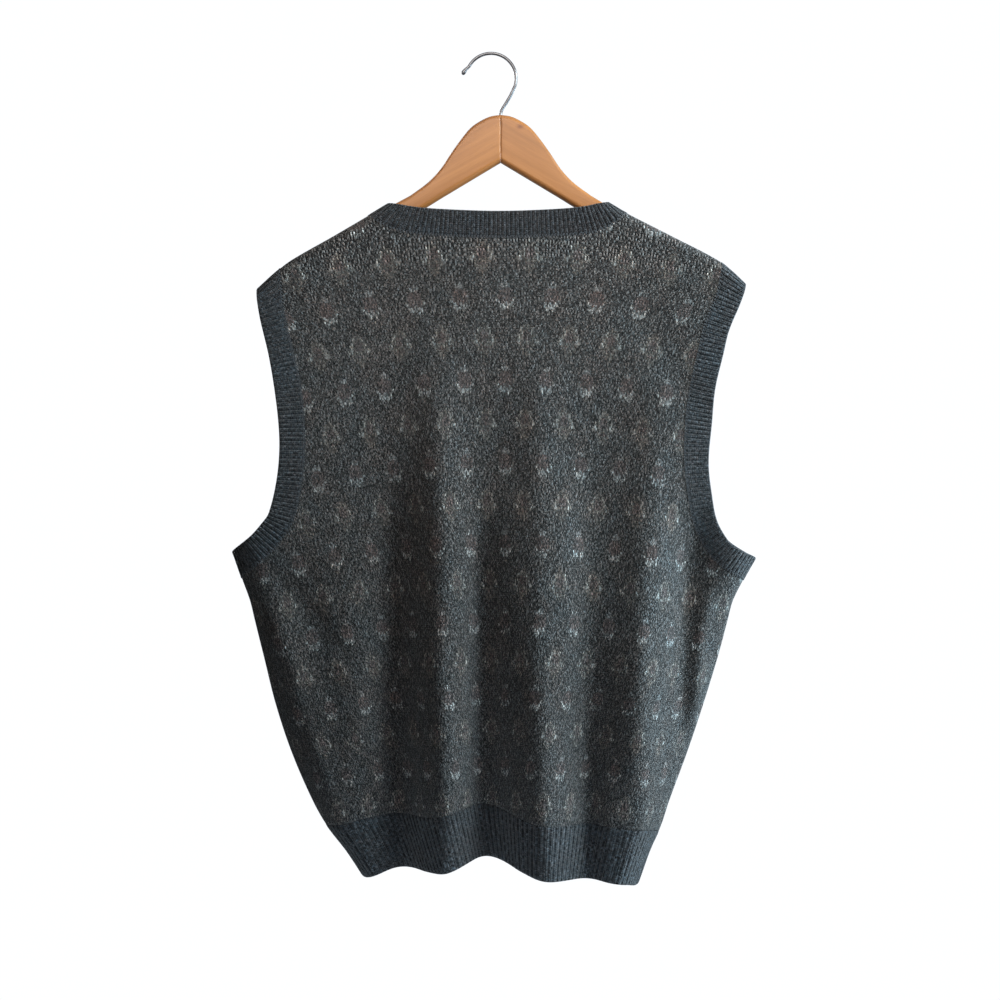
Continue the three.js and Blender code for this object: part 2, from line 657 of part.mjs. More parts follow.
function hookPath() {
  const bendCentre = hookWireRadius - hookBendRadius;
  const path = [{ x: hangerX, z: stemFoot, radius: hookWireRadius }];
  hookLean.forEach(({ out, up }) => path.push({ x: hangerX + out, z: stemTop + up, radius: hookWireRadius }));
  for (let i = 0; i <= hookBendSteps; i += 1) {
    const angle = mix(hookLeaveAngle, hookTipAngle, i / hookBendSteps) * Math.PI / 180;
    path.push({
      x: hookBendRadius * Math.cos(angle),
      z: bendCentre + hookBendRadius * Math.sin(angle),
      radius: hookWireRadius,
    });
  }
  return [...path, ...hookFlare];
}

function hookGeometry() {
  const path = hookPath();
  const rings = path.map((point, i) => {
    const before = path[Math.max(i - 1, 0)];
    const after = path[Math.min(i + 1, path.length - 1)];
    const run = Math.hypot(after.x - before.x, after.z - before.z);
    const across = [-(after.z - before.z) / run, (after.x - before.x) / run];
    const ring = [];
    for (let k = 0; k < hookSides; k += 1) {
      const angle = (2 * Math.PI * (k + 0.5)) / hookSides;
      const reach = point.radius * Math.cos(angle);
      ring.push([point.x + across[0] * reach, point.radius * Math.sin(angle), point.z + across[1] * reach]);
    }
    return ring;
  });
  return loft(rings);
}

// The stem's bore, cut half into each arm with running room round the wire
const wasm = await Module();
wasm.setup();

function asSolid(geometry) {
  const bare = geometry.clone();
  bare.deleteAttribute('normal');
  bare.deleteAttribute('uv');
  const merged = mergeVertices(bare);
  return new wasm.Manifold(new wasm.Mesh({
    numProp: 3,
    vertProperties: new Float32Array(merged.attributes.position.array),
    triVerts: new Uint32Array(merged.index.array),
  }));
}

function asGeometry(solid) {
  const mesh = solid.getMesh();
  const geometry = new THREE.BufferGeometry();
  geometry.setAttribute('position', new THREE.Float32BufferAttribute(mesh.vertProperties, 3));
  geometry.setIndex([...mesh.triVerts]);
  geometry.computeVertexNormals();
  return geometry;
}

function boredArm(toward) {
  const boreFoot = stemFoot - seamGap;
  const boreTop = stemTop + boreAboveStem;
  const bore = new THREE.CylinderGeometry(
    hookWireRadius + seamGap, hookWireRadius + seamGap, boreTop - boreFoot, boreSides);
  bore.rotateX(Math.PI / 2);
  bore.translate(hangerX, 0, (boreTop + boreFoot) / 2);
  return asGeometry(asSolid(armGeometry(toward)).subtract(asSolid(bore)));
}

// Materials and scene
const knit = (color) => new THREE.MeshStandardMaterial({ color, roughness: 0.95, metalness: 0 });
const wood = () => new THREE.MeshStandardMaterial({ color: woodColour, roughness: 0.45, metalness: 0 });
const steel = new THREE.MeshStandardMaterial({ color: steelColour, roughness: 0.2, metalness: 1 });

const group = new THREE.Group();
function add(name, geometry, material) {
  const mesh = new THREE.Mesh(geometry, material);
  mesh.name = name;
  group.add(mesh);
}

add('back_panel', panelGeometry('back'), knit(panelColour));
add('front_panel', panelGeometry('front'), knit(panelColour));
add('back_hem_rib', hemGeometry('back'), knit(ribColour));
add('front_hem_rib', hemGeometry('front'), knit(ribColour));
add('neckband', neckGeometry(), knit(ribColour));
add('armhole_band_left', armholeGeometry('left'), knit(ribColour));
add('armhole_band_right', armholeGeometry('right'), knit(ribColour));
add('hanger_arm_left', boredArm(-1), wood());
add('hanger_arm_right', boredArm(1), wood());
add('hook', hookGeometry(), steel);

export default group;
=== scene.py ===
# Knitted sweater vest on a wooden clothes hanger: its looks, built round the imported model.
# +Z is up, the vest's back faces -Y, and the origin is the inner top of the hook.
import math

import bmesh
import bpy
import numpy as np
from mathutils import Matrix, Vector


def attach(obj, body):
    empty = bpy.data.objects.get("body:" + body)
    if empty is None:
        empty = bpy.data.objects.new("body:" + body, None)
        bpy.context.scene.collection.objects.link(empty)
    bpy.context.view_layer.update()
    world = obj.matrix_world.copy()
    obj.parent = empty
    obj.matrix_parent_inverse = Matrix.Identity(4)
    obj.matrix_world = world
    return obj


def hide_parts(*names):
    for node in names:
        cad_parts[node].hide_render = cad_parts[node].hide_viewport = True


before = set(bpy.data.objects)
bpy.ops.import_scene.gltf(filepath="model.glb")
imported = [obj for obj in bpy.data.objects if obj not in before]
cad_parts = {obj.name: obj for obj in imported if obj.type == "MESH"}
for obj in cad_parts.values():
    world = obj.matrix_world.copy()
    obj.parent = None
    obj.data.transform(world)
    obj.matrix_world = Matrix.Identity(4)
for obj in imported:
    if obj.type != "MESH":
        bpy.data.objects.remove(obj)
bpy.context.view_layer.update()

mm = 0.001  # tables below are in millimetres, as a knitter writes them; meshes are in metres

# The cloth as a whole: what a user would change, then the cut and the hang, a row for each section or fold

clothSizes = {
    "wall": 2.4,  # thickness of the knit
    "seamGap": 0.1,  # left between pieces that are sewn or glued together
    "shoulderRound": 10.0,
    "sideRound": 34.0,
    "shoulderLean": 0.87,
    "hemRibDrop": 52.0,
    "wovenMiddle": 13.0,  # where the wales are counted from
    "courseDroop": 0.0005,  # how much each course sags towards the sides, per millimetre squared
    "courseTall": 2.33,
}

shoulderLine = [(-234, -235), (-214, -216.5), (-199, -205), (-157, -181), (-122, -160.5), (-102, -148.5),
                (8, -88), (117, -147.5), (135, -158), (180, -181), (226, -205), (241, -217), (254.7, -230)]

# height, left seam, right seam
sideSeam = [(-200, -350, 404), (-440, -276, 300), (-496, -258.5, 268.3), (-502.6, -256.1, 264.6),
            (-524, -248.7, 252.5), (-545, -241, 242), (-565, -236, 236.5), (-601, -227, 227),
            (-649, -215, 212), (-697, -199, 196), (-745, -178, 178), (-769, -164, 170),
            (-793, -145, 159), (-817, -129, 150), (-829, -122, 145.5)]

# seam height, seam across, edge across, edge height, how far the front's edge stands out past the back's
leftArmhole = [(-214.5, -211, -234, -235, 0), (-258, -205.5, -229, -265, 0), (-296, -197, -220, -302, 0),
               (-337, -188, -213.5, -340, 0), (-385, -184.5, -209, -385, 0), (-422, -186.5, -211, -421, 0),
               (-464, -195, -219, -457, 0), (-484, -207, -227, -469, 0), (-499, -220, -238, -481, 0),
               (-522, -249.4, -258.5, -496, 0)]
rightArmhole = [(-208.5, 231, 254.7, -230, 0), (-241, 224, 247, -251, 0), (-269, 212.5, 236, -277, 0),
                (-296, 206, 230, -301, 0), (-328, 198.5, 222, -334, 0), (-364, 193, 218.5, -368, 0),
                (-410, 191.5, 215, -409, 1.5), (-447, 196, 218.7, -444, 3), (-473, 202.5, 223, -465, 4),
                (-495, 214, 231.7, -481.6, 4.5), (-509, 227, 241, -491.6, 4), (-524, 252.5, 264.6, -502.6, 0)]

# seam across, seam height, edge across, edge height
backNeck = [(-122, -160.5, -102, -148.5), (-108, -170, -92, -150.5), (-88, -177.5, -78, -153),
            (-54, -181.5, -51, -155.5), (9, -183.5, 9, -157.5), (71, -181.5, 69, -155.3),
            (103, -178.5, 95, -152.5), (121, -170, 108, -149.5), (135, -158, 117, -147.5)]
frontNeckLeft = [(-122, -160.5, -102, -148.5), (-104, -197, -81, -185), (-51, -299, -28, -286),
                 (8, -400, 8, -350)]
frontNeckRight = [(8, -400, 8, -350), (67, -298, 44, -285), (118, -195, 95, -183), (135, -158, 117, -147.5)]

backHem = [(-127, -819), (-88, -806.5), (-45, -804.5), (-1, -794), (46, -808.5), (94, -812), (132, -818),
           (146.5, -826)]
frontHem = [(-127, -819), (-92, -807), (-40, -800), (8, -803), (58, -799), (105, -809), (146.5, -826)]

# height, half depth of the back, half depth of the front
halfDepth = [(-140, 10.6, 10.6), (-205, 11, 11), (-260, 15, 16), (-340, 20, 23), (-450, 23, 27),
             (-600, 23, 26), (-720, 23, 25), (-830, 23, 25)]

# top across, top height, foot across, foot height, height of the fold, reach, grows over, fades over
backFolds = [(-152, -400, -122, -810, 15, 32, 300, 0), (-54, -325, -43, -810, 42, 28, 420, 0),
             (40, -335, 51, -810, 43, 30, 430, 0), (158, -360, 134, -810, 40, 30, 340, 0),
             (196, -425, 216, -590, -8, 19, 90, 70)]
frontFolds = [(-150, -420, -108, -810, 26, 30, 330, 0), (-40, -410, -22, -810, 33, 31, 340, 0),
              (68, -400, 58, -810, 36, 28, 360, 0), (166, -430, 122, -810, 20, 26, 300, 0),
              (-178, -440, -200, -590, -7, 19, 90, 70)]

# small creases that the solids leave out, same columns
backCreases = [(-120, -232, -196, -330, -1.6, 20, 40, 60), (140, -232, 190, -330, -1.8, 20, 40, 60),
               (-226, -500, -150, -590, -1.8, 13, 30, 60), (-232, -530, -170, -640, 1.5, 14, 40, 70),
               (216, -500, 205, -640, 7, 11, 60, 60), (196, -465, 190, -670, -6, 12, 60, 80),
               (-56, -250, -48, -470, 8, 22, 150, 120), (48, -250, 50, -470, 7, 26, 150, 120),
               (168, -260, 156, -470, 5, 26, 150, 120), (-26, -380, -22, -800, 2.8, 17, 120, 0),
               (-98, -380, -94, -800, -7, 16, 120, 0), (74, -380, 82, -800, 8, 18, 120, 0),
               (-13, -400, -9, -800, -5, 10, 120, 0), (14, -400, 18, -800, 5, 15, 120, 0),
               (112, -460, 112, -800, 5, 16, 120, 0), (138, -640, 134, -800, -8, 20, 120, 0),
               (96, -610, 92, -790, -3.5, 9, 120, 40), (-70, -640, -66, -800, 2.2, 7, 80, 0),
               (24, -690, 26, -812, 2.4, 7, 60, 0), (112, -700, 110, -815, 2.2, 7, 60, 0),
               (176, -600, 160, -790, -3.0, 10, 120, 40), (-175, -610, -158, -760, 2.0, 12, 90, 50),
               (62, -380, 62, -800, 10, 82, 200, 0), (-106, -170, -106, -460, -5, 66, 60, 150),
               (-224, -530, -146, -800, 9, 26, 60, 0)]
frontCreases = [(-120, -232, -186, -330, -1.6, 20, 40, 60), (140, -232, 186, -330, -1.6, 20, 40, 60),
                (226, -505, 150, -600, -3.0, 13, 30, 60), (-222, -505, -150, -600, -2.6, 13, 30, 60),
                (16, -560, 18, -780, -3.2, 11, 160, 40), (-70, -600, -62, -790, -3.2, 10, 140, 40),
                (96, -640, 92, -812, 2.4, 8, 80, 0), (-130, -640, -118, -790, -2.4, 9, 100, 40)]

# Curves and the cloth's face


def limit(value, low=0.0, high=1.0):
    return np.clip(value, low, high)


def ease(share):
    return share * share * (3 - 2 * share)


def mix(a, b, share):
    return a + (b - a) * share


def curveThrough(keys, values):
    order = np.argsort(keys)
    k = np.array(keys, float)[order]
    v = np.array(values, float)[order]
    slope = np.empty(len(k))
    slope[1:-1] = (v[2:] - v[:-2]) / (k[2:] - k[:-2])
    slope[0] = (v[1] - v[0]) / (k[1] - k[0])
    slope[-1] = (v[-1] - v[-2]) / (k[-1] - k[-2])

    def at(x):
        x = np.asarray(x, float)
        i = np.clip(np.searchsorted(k, x, side="right") - 1, 0, len(k) - 2)
        span = k[i + 1] - k[i]
        t = (x - k[i]) / span
        bend = t * (1 - t) * span * (slope[i] * (1 - t) - slope[i + 1] * t)
        lineBend = t * (1 - t) * (1 - 2 * t) * (v[i + 1] - v[i])
        inside = mix(v[i], v[i + 1], t) + bend - lineBend
        low = v[0] + slope[0] * (x - k[0])
        high = v[-1] + slope[-1] * (x - k[-1])
        return np.where(x <= k[0], low, np.where(x >= k[-1], high, inside))

    return at


def column(table, i):
    return [row[i] for row in table]


def curve(table, key, value):
    return curveThrough(column(table, key), column(table, value))


shoulderZ = curve(shoulderLine, 0, 1)
sideX = {"left": curve(sideSeam, 0, 1), "right": curve(sideSeam, 0, 2)}
hemZ = {"back": curve(backHem, 0, 1), "front": curve(frontHem, 0, 1)}
depthZ = {"back": curve(halfDepth, 0, 1), "front": curve(halfDepth, 0, 2)}
folds = {"back": backFolds + backCreases, "front": frontFolds + frontCreases}
facing = {"back": -1.0, "front": 1.0}


def armholeCurves(table):
    names = ("seamX", "edgeX", "edgeZ", "frontOut")
    curves = {name: curve(table, 0, i) for i, name in enumerate(names, 1)}
    return {"top": table[0][0], "foot": table[-1][0], **curves}


armhole = {"left": armholeCurves(leftArmhole), "right": armholeCurves(rightArmhole)}
neckPoint = frontNeckRight[0][0]
neckLeft = backNeck[0][0]
neckRight = backNeck[-1][0]


def neckAt(face, seamX):
    if face == "back":
        return [curve(backNeck, 0, i)(seamX) for i in (1, 2, 3)]
    sides = [(curve(frontNeckLeft, 0, i), curve(frontNeckRight, 0, i)) for i in (1, 2, 3)]
    return [np.where(seamX < neckPoint, left(seamX), right(seamX)) for left, right in sides]


def roundOff(distance, radius):
    return 1 - (1 - np.minimum(distance, radius) / radius) ** 2


def foldDepth(fold, x, z):
    topX, topZ, footX, footZ, height, reach, grow, fade = fold
    down = limit((topZ - z) / grow)
    past = limit((footZ - z) / fade) if fade else 0.0
    centre = mix(topX, footX, (topZ - z) / (topZ - footZ))
    across = (x - centre) / reach
    return height * ease(down) * (1 - ease(past)) * np.exp(-across * across)


def openDepth(face, x, z):
    depth = depthZ[face](z)
    for fold in folds[face]:
        depth = depth + foldDepth(fold, x, z)
    return depth


def squaredDepth(face, x, z):
    belowShoulder = roundOff((shoulderZ(x) - z) * clothSizes["shoulderLean"], clothSizes["shoulderRound"])
    fromLeft = roundOff(x - sideX["left"](z), clothSizes["sideRound"])
    fromRight = roundOff(sideX["right"](z) - x, clothSizes["sideRound"])
    depth = openDepth(face, x, z)
    return belowShoulder * fromLeft * fromRight * depth * depth


def clothPoints(face, x, z, apart=0.0):
    step = 0.4
    y = facing[face] * np.maximum(np.sqrt(np.maximum(squaredDepth(face, x, z), 0)), apart)
    alongX = (squaredDepth(face, x + step, z) - squaredDepth(face, x - step, z)) / (2 * step)
    alongZ = (squaredDepth(face, x, z + step) - squaredDepth(face, x, z - step)) / (2 * step)
    out = np.stack([-alongX, 2 * y, -alongZ], -1)
    out /= np.maximum(np.linalg.norm(out, axis=-1, keepdims=True), 1e-9)
    return np.stack([x, y, z], -1), out


# Cloth coordinates: wales counted from the middle, courses counted down from the shoulders

halfRepeatCourses = 18
# height, rows of motifs above it: the rows are half a repeat apart
motifRows = [(-202, 0), (-409, 5), (-601, 10), (-737, 14), (-830, 16.4)]
motifsAbove = curve(motifRows, 0, 1)
# height, width of a wale there: the hanger stretches the shoulders
waleRows = [(-202, 2.98), (-245, 2.83), (-283, 2.64), (-326, 2.52), (-365, 2.46), (-410, 2.40), (-475, 2.38),
            (-515, 2.34), (-555, 2.29), (-595, 2.24), (-635, 2.19), (-675, 2.12), (-715, 2.04), (-760, 1.97),
            (-830, 1.92)]
waleWide = curve(waleRows, 0, 1)
steepestFold = 2.5  # the steepest slope that still lengthens the cloth


def walesTable(face):
    xs = np.arange(-290.0, 300.5, 1.0)  # a little wider than the vest
    zs = np.arange(-860.0, -129.0, 5.0)  # and a little taller
    x, z = np.meshgrid(xs, zs)
    fromLeft = roundOff(np.maximum(x - sideX["left"](z), 0), clothSizes["sideRound"])
    fromRight = roundOff(np.maximum(sideX["right"](z) - x, 0), clothSizes["sideRound"])
    y = openDepth(face, x, z) * np.sqrt(fromLeft * fromRight)
    slope = np.clip(np.gradient(y, xs, axis=1), -steepestFold, steepestFold)
    length = np.cumsum(np.sqrt(1 + slope * slope), axis=1)
    middle = np.argmin(abs(xs - clothSizes["wovenMiddle"]))
    length = length - length[:, middle:middle + 1]
    return xs, zs, length / waleWide(zs)[:, None]


def lookUp(table, x, z):
    xs, zs, wales = table
    fx = np.clip((x - xs[0]) / (xs[1] - xs[0]), 0, len(xs) - 1.001)
    fz = np.clip((z - zs[0]) / (zs[1] - zs[0]), 0, len(zs) - 1.001)
    ix = fx.astype(int)
    iz = fz.astype(int)
    tx = fx - ix
    tz = fz - iz
    low = mix(wales[iz, ix], wales[iz, ix + 1], tx)
    high = mix(wales[iz + 1, ix], wales[iz + 1, ix + 1], tx)
    return mix(low, high, tz)


wales = {face: walesTable(face) for face in ("back", "front")}


def clothCoordinates(face, x, z):
    droop = clothSizes["courseDroop"] * (x - clothSizes["wovenMiddle"]) ** 2
    across = lookUp(wales[face], x, z) * -facing[face]
    return np.stack([across, motifsAbove(z + droop) * halfRepeatCourses], -1)


# Meshes from grids


def addPiece(name, data):
    piece = bpy.data.objects.new(name, data)
    bpy.context.scene.collection.objects.link(piece)
    return piece


def finishMesh(work, mesh):
    work.to_mesh(mesh)
    work.free()


def meshFromGrids(name, points, quads, uv):
    mesh = bpy.data.meshes.new(name)
    mesh.vertices.add(len(points))
    mesh.vertices.foreach_set("co", (points * mm).astype(np.float32).ravel())
    mesh.loops.add(quads.size)
    mesh.loops.foreach_set("vertex_index", quads.astype(np.int32).ravel())
    mesh.polygons.add(len(quads))
    mesh.polygons.foreach_set("loop_start", np.arange(0, quads.size, 4, dtype=np.int32))
    mesh.polygons.foreach_set("use_smooth", np.ones(len(quads), bool))
    mesh.update(calc_edges=True)
    layer = mesh.uv_layers.new(name="cloth")
    layer.data.foreach_set("uv", uv.astype(np.float32).ravel())
    mesh.validate()
    return addPiece(name, mesh)


def gridQuads(index, wrapColumns=False, wrapRows=False):
    rows, cols = index.shape
    r = np.arange(rows if wrapRows else rows - 1)
    c = np.arange(cols if wrapColumns else cols - 1)
    r, c = np.meshgrid(r, c, indexing="ij")
    r2 = (r + 1) % rows
    c2 = (c + 1) % cols
    return np.stack([index[r, c], index[r2, c], index[r2, c2], index[r, c2]], -1).reshape(-1, 4)


def outwards(piece):
    work = bmesh.new()
    work.from_mesh(piece.data)
    volume = work.calc_volume(signed=True)
    if volume < 0:
        bmesh.ops.reverse_faces(work, faces=work.faces)
    finishMesh(work, piece.data)
    print(f"  {piece.name}: {len(piece.data.polygons)} quads, {abs(volume) * 1e6:.1f} cubic centimetres")


# Panels: a fine wall on the same face as the solids, with cloth coordinates

panelSizes = {
    "upperRows": 96,
    "lowerRows": 124,
    "sideColumns": 36,
    "halfNeckColumns": 52,
    "sideCrowding": 1.5,  # how strongly columns gather at the sides, at the neck's point, and rows at the top
    "neckCrowding": 0.6,
    "topCrowding": 1.7,
    "shoulderShare": 0.2,  # of the width that each shoulder takes
    "coreShare": 0.105,  # of the width in which the columns keep to the armhole
    "chestZ": -425.0,
}
hemLeft = backHem[0][0]
hemRight = backHem[-1][0]


def armholeOrSide(side, z):
    return np.where(z > armhole[side]["foot"], armhole[side]["seamX"](z), sideX[side](z))


def calmEdge(side, z):
    # the side's line smoothed over some height, for the columns further in
    offsets = (-60, -30, 0, 30, 60)
    return sum(armholeOrSide(side, z + offset) for offset in offsets) / len(offsets)


def acrossX(share, leftZ, rightZ):
    core = panelSizes["coreShare"]
    left = armholeOrSide("left", leftZ)
    right = armholeOrSide("right", rightZ)
    calmLeft = calmEdge("left", leftZ)
    calmRight = calmEdge("right", rightZ)
    coreLeft = mix(calmLeft, calmRight, core)
    coreRight = mix(calmRight, calmLeft, core)
    inner = mix(coreLeft, coreRight, (share - core) / (1 - 2 * core))
    outerLeft = mix(left, coreLeft, share / core)
    outerRight = mix(right, coreRight, (1 - share) / core)
    outer = np.where(share < 0.5, outerLeft, outerRight)
    return np.where((share < core) | (share > 1 - core), outer, inner)


def hemSeamZ(face, share):
    return hemZ[face](mix(hemLeft, hemRight, share)) + clothSizes["hemRibDrop"]


def topEdge(face, share):
    reach = panelSizes["shoulderShare"]
    mirrored = np.where(share > 0.5, 1 - share, share)
    onShoulder = mirrored / reach
    leftShoulder = mix(leftArmhole[0][1], neckLeft, onShoulder)
    rightShoulder = mix(rightArmhole[0][1], neckRight, onShoulder)
    shoulderX = np.where(share < 0.5, leftShoulder, rightShoulder)
    across = (share - reach) / (1 - 2 * reach)
    leftNeck = mix(neckLeft, neckPoint, 2 * across)
    rightNeck = mix(neckPoint, neckRight, 2 * across - 1)
    neckX = np.where(across < 0.5, leftNeck, rightNeck)
    neckZ = neckAt(face, neckX)[0]
    shoulder = mirrored < reach
    return np.where(shoulder, shoulderX, neckX), np.where(shoulder, shoulderZ(shoulderX), neckZ)


def panelShares():
    side = np.linspace(0, 1, panelSizes["sideColumns"], endpoint=False)
    neck = np.linspace(0, 1, panelSizes["halfNeckColumns"], endpoint=False)
    shoulder = panelSizes["shoulderShare"]
    onShoulder = shoulder * side ** panelSizes["sideCrowding"]
    onNeck = mix(shoulder, 0.5, mix(neck, neck ** 2, panelSizes["neckCrowding"]))
    left = np.concatenate([onShoulder, onNeck])
    return np.concatenate([left, [0.5], 1 - left[::-1]])


def panelOutline(face, shares):
    chestZ = panelSizes["chestZ"]
    down = np.linspace(0, 1, panelSizes["upperRows"], endpoint=False)[:, None] ** panelSizes["topCrowding"]
    share = shares[None, :]
    topX, topZ = topEdge(face, share)
    chestX = acrossX(share, np.float64(chestZ), np.float64(chestZ))
    left = armhole["left"]["seamX"](mix(armhole["left"]["top"], chestZ, down))
    right = armhole["right"]["seamX"](mix(armhole["right"]["top"], chestZ, down))
    bowLeft = left - mix(topX[:, :1], chestX[:, :1], down)
    bowRight = right - mix(topX[:, -1:], chestX[:, -1:], down)
    upperX = mix(topX, chestX, down) + mix(bowLeft, bowRight, share)
    upperZ = mix(topZ, chestZ, down) + 0 * share
    fall = np.linspace(0, 1, panelSizes["lowerRows"])[:, None]
    lowerZ = mix(chestZ, hemSeamZ(face, share), fall)
    lowerX = acrossX(share, lowerZ[:, :1], lowerZ[:, -1:])
    return np.concatenate([upperX, lowerX]), np.concatenate([upperZ, lowerZ])


def makePanel(face, name):
    shares = panelShares()
    x, z = panelOutline(face, shares)
    at, out = clothPoints(face, x, z, clothSizes["seamGap"] / 2)
    inner = at - out * clothSizes["wall"]
    side = facing[face]
    inner[..., 1] = side * np.maximum(side * inner[..., 1], clothSizes["seamGap"] / 2)
    uvAt = clothCoordinates(face, x, z)
    count = x.size
    outerIndex = np.arange(count).reshape(x.shape)
    innerIndex = outerIndex + count
    quads = [gridQuads(outerIndex), gridQuads(innerIndex)[:, ::-1]]
    edges = [(outerIndex[0], innerIndex[0]), (innerIndex[-1], outerIndex[-1]),
             (innerIndex[:, 0], outerIndex[:, 0]), (outerIndex[:, -1], innerIndex[:, -1])]
    for near, far in edges:
        quads.append(np.stack([near[:-1], near[1:], far[1:], far[:-1]], -1))
    quads = np.concatenate(quads)
    points = np.concatenate([at.reshape(-1, 3), inner.reshape(-1, 3)])
    uv = np.concatenate([uvAt.reshape(-1, 2), uvAt.reshape(-1, 2)])
    piece = meshFromGrids(name, points, quads, uv[quads.ravel()])
    outwards(piece)
    return piece


# Small helpers for node trees


def feed(tree, socket, value):
    if isinstance(value, bpy.types.NodeSocket):
        tree.links.new(value, socket)
    elif value is not None:
        socket.default_value = value


def makeNode(tree, kind, inputs, **settings):
    step = tree.nodes.new(kind)
    for name, value in settings.items():
        setattr(step, name, value)
    for socket, value in inputs.items():
        feed(tree, step.inputs[socket], value)
    return step


def numberNode(tree, operation, *values):
    return makeNode(tree, "ShaderNodeMath", dict(enumerate(values)), operation=operation).outputs[0]


def plus(tree, a, b):
    return numberNode(tree, "ADD", a, b)


def times(tree, a, b):
    return numberNode(tree, "MULTIPLY", a, b)


def timesPlus(tree, a, b, c):
    return numberNode(tree, "MULTIPLY_ADD", a, b, c)


def absolute(tree, value):
    return numberNode(tree, "ABSOLUTE", value)


def whole(tree, value):
    return numberNode(tree, "FLOOR", value)


def fraction(tree, value):
    return numberNode(tree, "FRACT", value)


def noiseNode(tree, vector, scale, detail=2.0, roughness=0.5):
    inputs = {"Vector": vector, "Scale": scale, "Detail": detail, "Roughness": roughness}
    return makeNode(tree, "ShaderNodeTexNoise", inputs).outputs["Fac"]


def colourMix(tree, share, first, second, kind="MIX"):
    inputs = {0: share, 6: first, 7: second}  # the colour sockets have these numbers
    return makeNode(tree, "ShaderNodeMix", inputs, data_type="RGBA", blend_type=kind).outputs[2]


def rampNode(tree, share, stops, interpolation="LINEAR"):
    step = tree.nodes.new("ShaderNodeValToRGB")
    step.color_ramp.interpolation = interpolation
    elements = step.color_ramp.elements
    while len(elements) > 1:
        elements.remove(elements[-1])
    elements[0].position, elements[0].color = stops[0]
    for position, colour in stops[1:]:
        elements.new(position).color = colour
    feed(tree, step.inputs[0], share)
    return step


def combine(tree, x, y, z=0.0):
    return makeNode(tree, "ShaderNodeCombineXYZ", {"X": x, "Y": y, "Z": z}).outputs[0]


def splitAxes(tree, vector):
    return makeNode(tree, "ShaderNodeSeparateXYZ", {0: vector}).outputs


def stretched(tree, vector, scale):
    return makeNode(tree, "ShaderNodeMapping", {"Vector": vector, "Scale": scale}).outputs[0]


def multiplied(tree, colour, other, share=1.0):
    return colourMix(tree, share, colour, other, "MULTIPLY")


def bumpNode(tree, height, distance, strength, normal=None):
    inputs = {"Distance": distance, "Strength": strength, "Height": height, "Normal": normal}
    return makeNode(tree, "ShaderNodeBump", inputs).outputs[0]


def newMaterial(name, surface):
    material = bpy.data.materials.new(name)
    material.use_nodes = True
    tree = material.node_tree
    shader = next(node for node in tree.nodes if node.type == "BSDF_PRINCIPLED")
    for label, value in surface.items():
        shader.inputs[label].default_value = value
    return material, tree, shader


# Bands: a closed cross-section carried along the seam; Geometry Nodes raise the ribs

neckBand = {
    "pitch": 4.35,
    "ribHeight": 0.65,
    "rowsAcross": 12,
    "seamDip": 0.55,
    "samples": 1801,
}
armholeBand = {
    "pitch": 4.35,
    "ribHeight": 0.65,
    "rowsAcross": 12,
    "seamDip": 0.55,
    "samples": 900,
}
hemBand = {
    "pitch": 5.5,
    "ribHeight": 0.4,
    "rowsAcross": 20,
    "seamDip": 0.12,
    "samples": 900,
}
insideRib = 0.4  # height of the ribs on the cloth's inside
columnsPerRib = 8


def crossSection(rows, dip):
    # share of the way from seam to free edge, offset from the face, and how much of each rib shows there
    wall = clothSizes["wall"]
    outer = [(0.0, -dip, 0.0, 0.0), (0.02, -0.25 * dip, 0.5, 0.0)]
    outer += [(a, 0.0, 1.0, 0.0) for a in np.linspace(0.06, 0.95, rows)]
    edge = [(0.98, -0.10 * wall, 0.85, 0.0), (0.997, -0.30 * wall, 0.5, 0.0),
            (1.003, -0.5 * wall, 0.25, 0.25), (0.997, -0.72 * wall, 0.0, 0.5),
            (0.98, -0.92 * wall, 0.0, 0.85)]
    inner = [(a, -wall, 0.0, 1.0) for a in np.linspace(0.94, 0.04, rows // 2)]
    return np.array(outer + edge + inner + [(0.0, -wall, 0.0, 0.0)])


def betweenEdges(seam, edge, share):
    # near the shoulder and side lines each row keeps in step with its two edges
    reach = 12.0
    x = mix(seam[:, 0], edge[:, 0], share)
    z = mix(seam[:, 1], edge[:, 1], share)
    drop = mix(shoulderZ(seam[:, 0]) - seam[:, 1], shoulderZ(edge[:, 0]) - edge[:, 1], share)
    z = z + np.exp(-(drop / reach) ** 2) * (shoulderZ(x) - drop - z)
    for side, inward in (("left", 1.0), ("right", -1.0)):
        seamInset = inward * (seam[:, 0] - sideX[side](seam[:, 1]))
        edgeInset = inward * (edge[:, 0] - sideX[side](edge[:, 1]))
        inset = mix(seamInset, edgeInset, share)
        x = x + np.exp(-(inset / reach) ** 2) * (sideX[side](z) + inward * inset - x)
    return x, z


def armholePlace(side):
    # each band has such a place function: face, place along the band, share of the way from seam to free edge
    curves = armhole[side]

    def place(front, z, share):
        seam = np.stack([curves["seamX"](z), z], -1)
        edge = np.stack([curves["edgeX"](z), curves["edgeZ"](z)], -1)
        across = edge - seam
        shift = np.where(front, np.maximum(curves["frontOut"](z), 0), 0) / np.linalg.norm(across, axis=1)
        return betweenEdges(seam, edge + across * shift[:, None], share)

    return place


def neckPlace(front, x, share):
    sewn = np.empty((len(x), 2))
    free = np.empty((len(x), 2))
    for face, chosen in (("back", ~front), ("front", front)):
        seamZ, edgeX, edgeZ = neckAt(face, x[chosen])
        sewn[chosen] = np.stack([x[chosen], seamZ], -1)
        free[chosen] = np.stack([edgeX, edgeZ], -1)
    return betweenEdges(sewn, free, share)


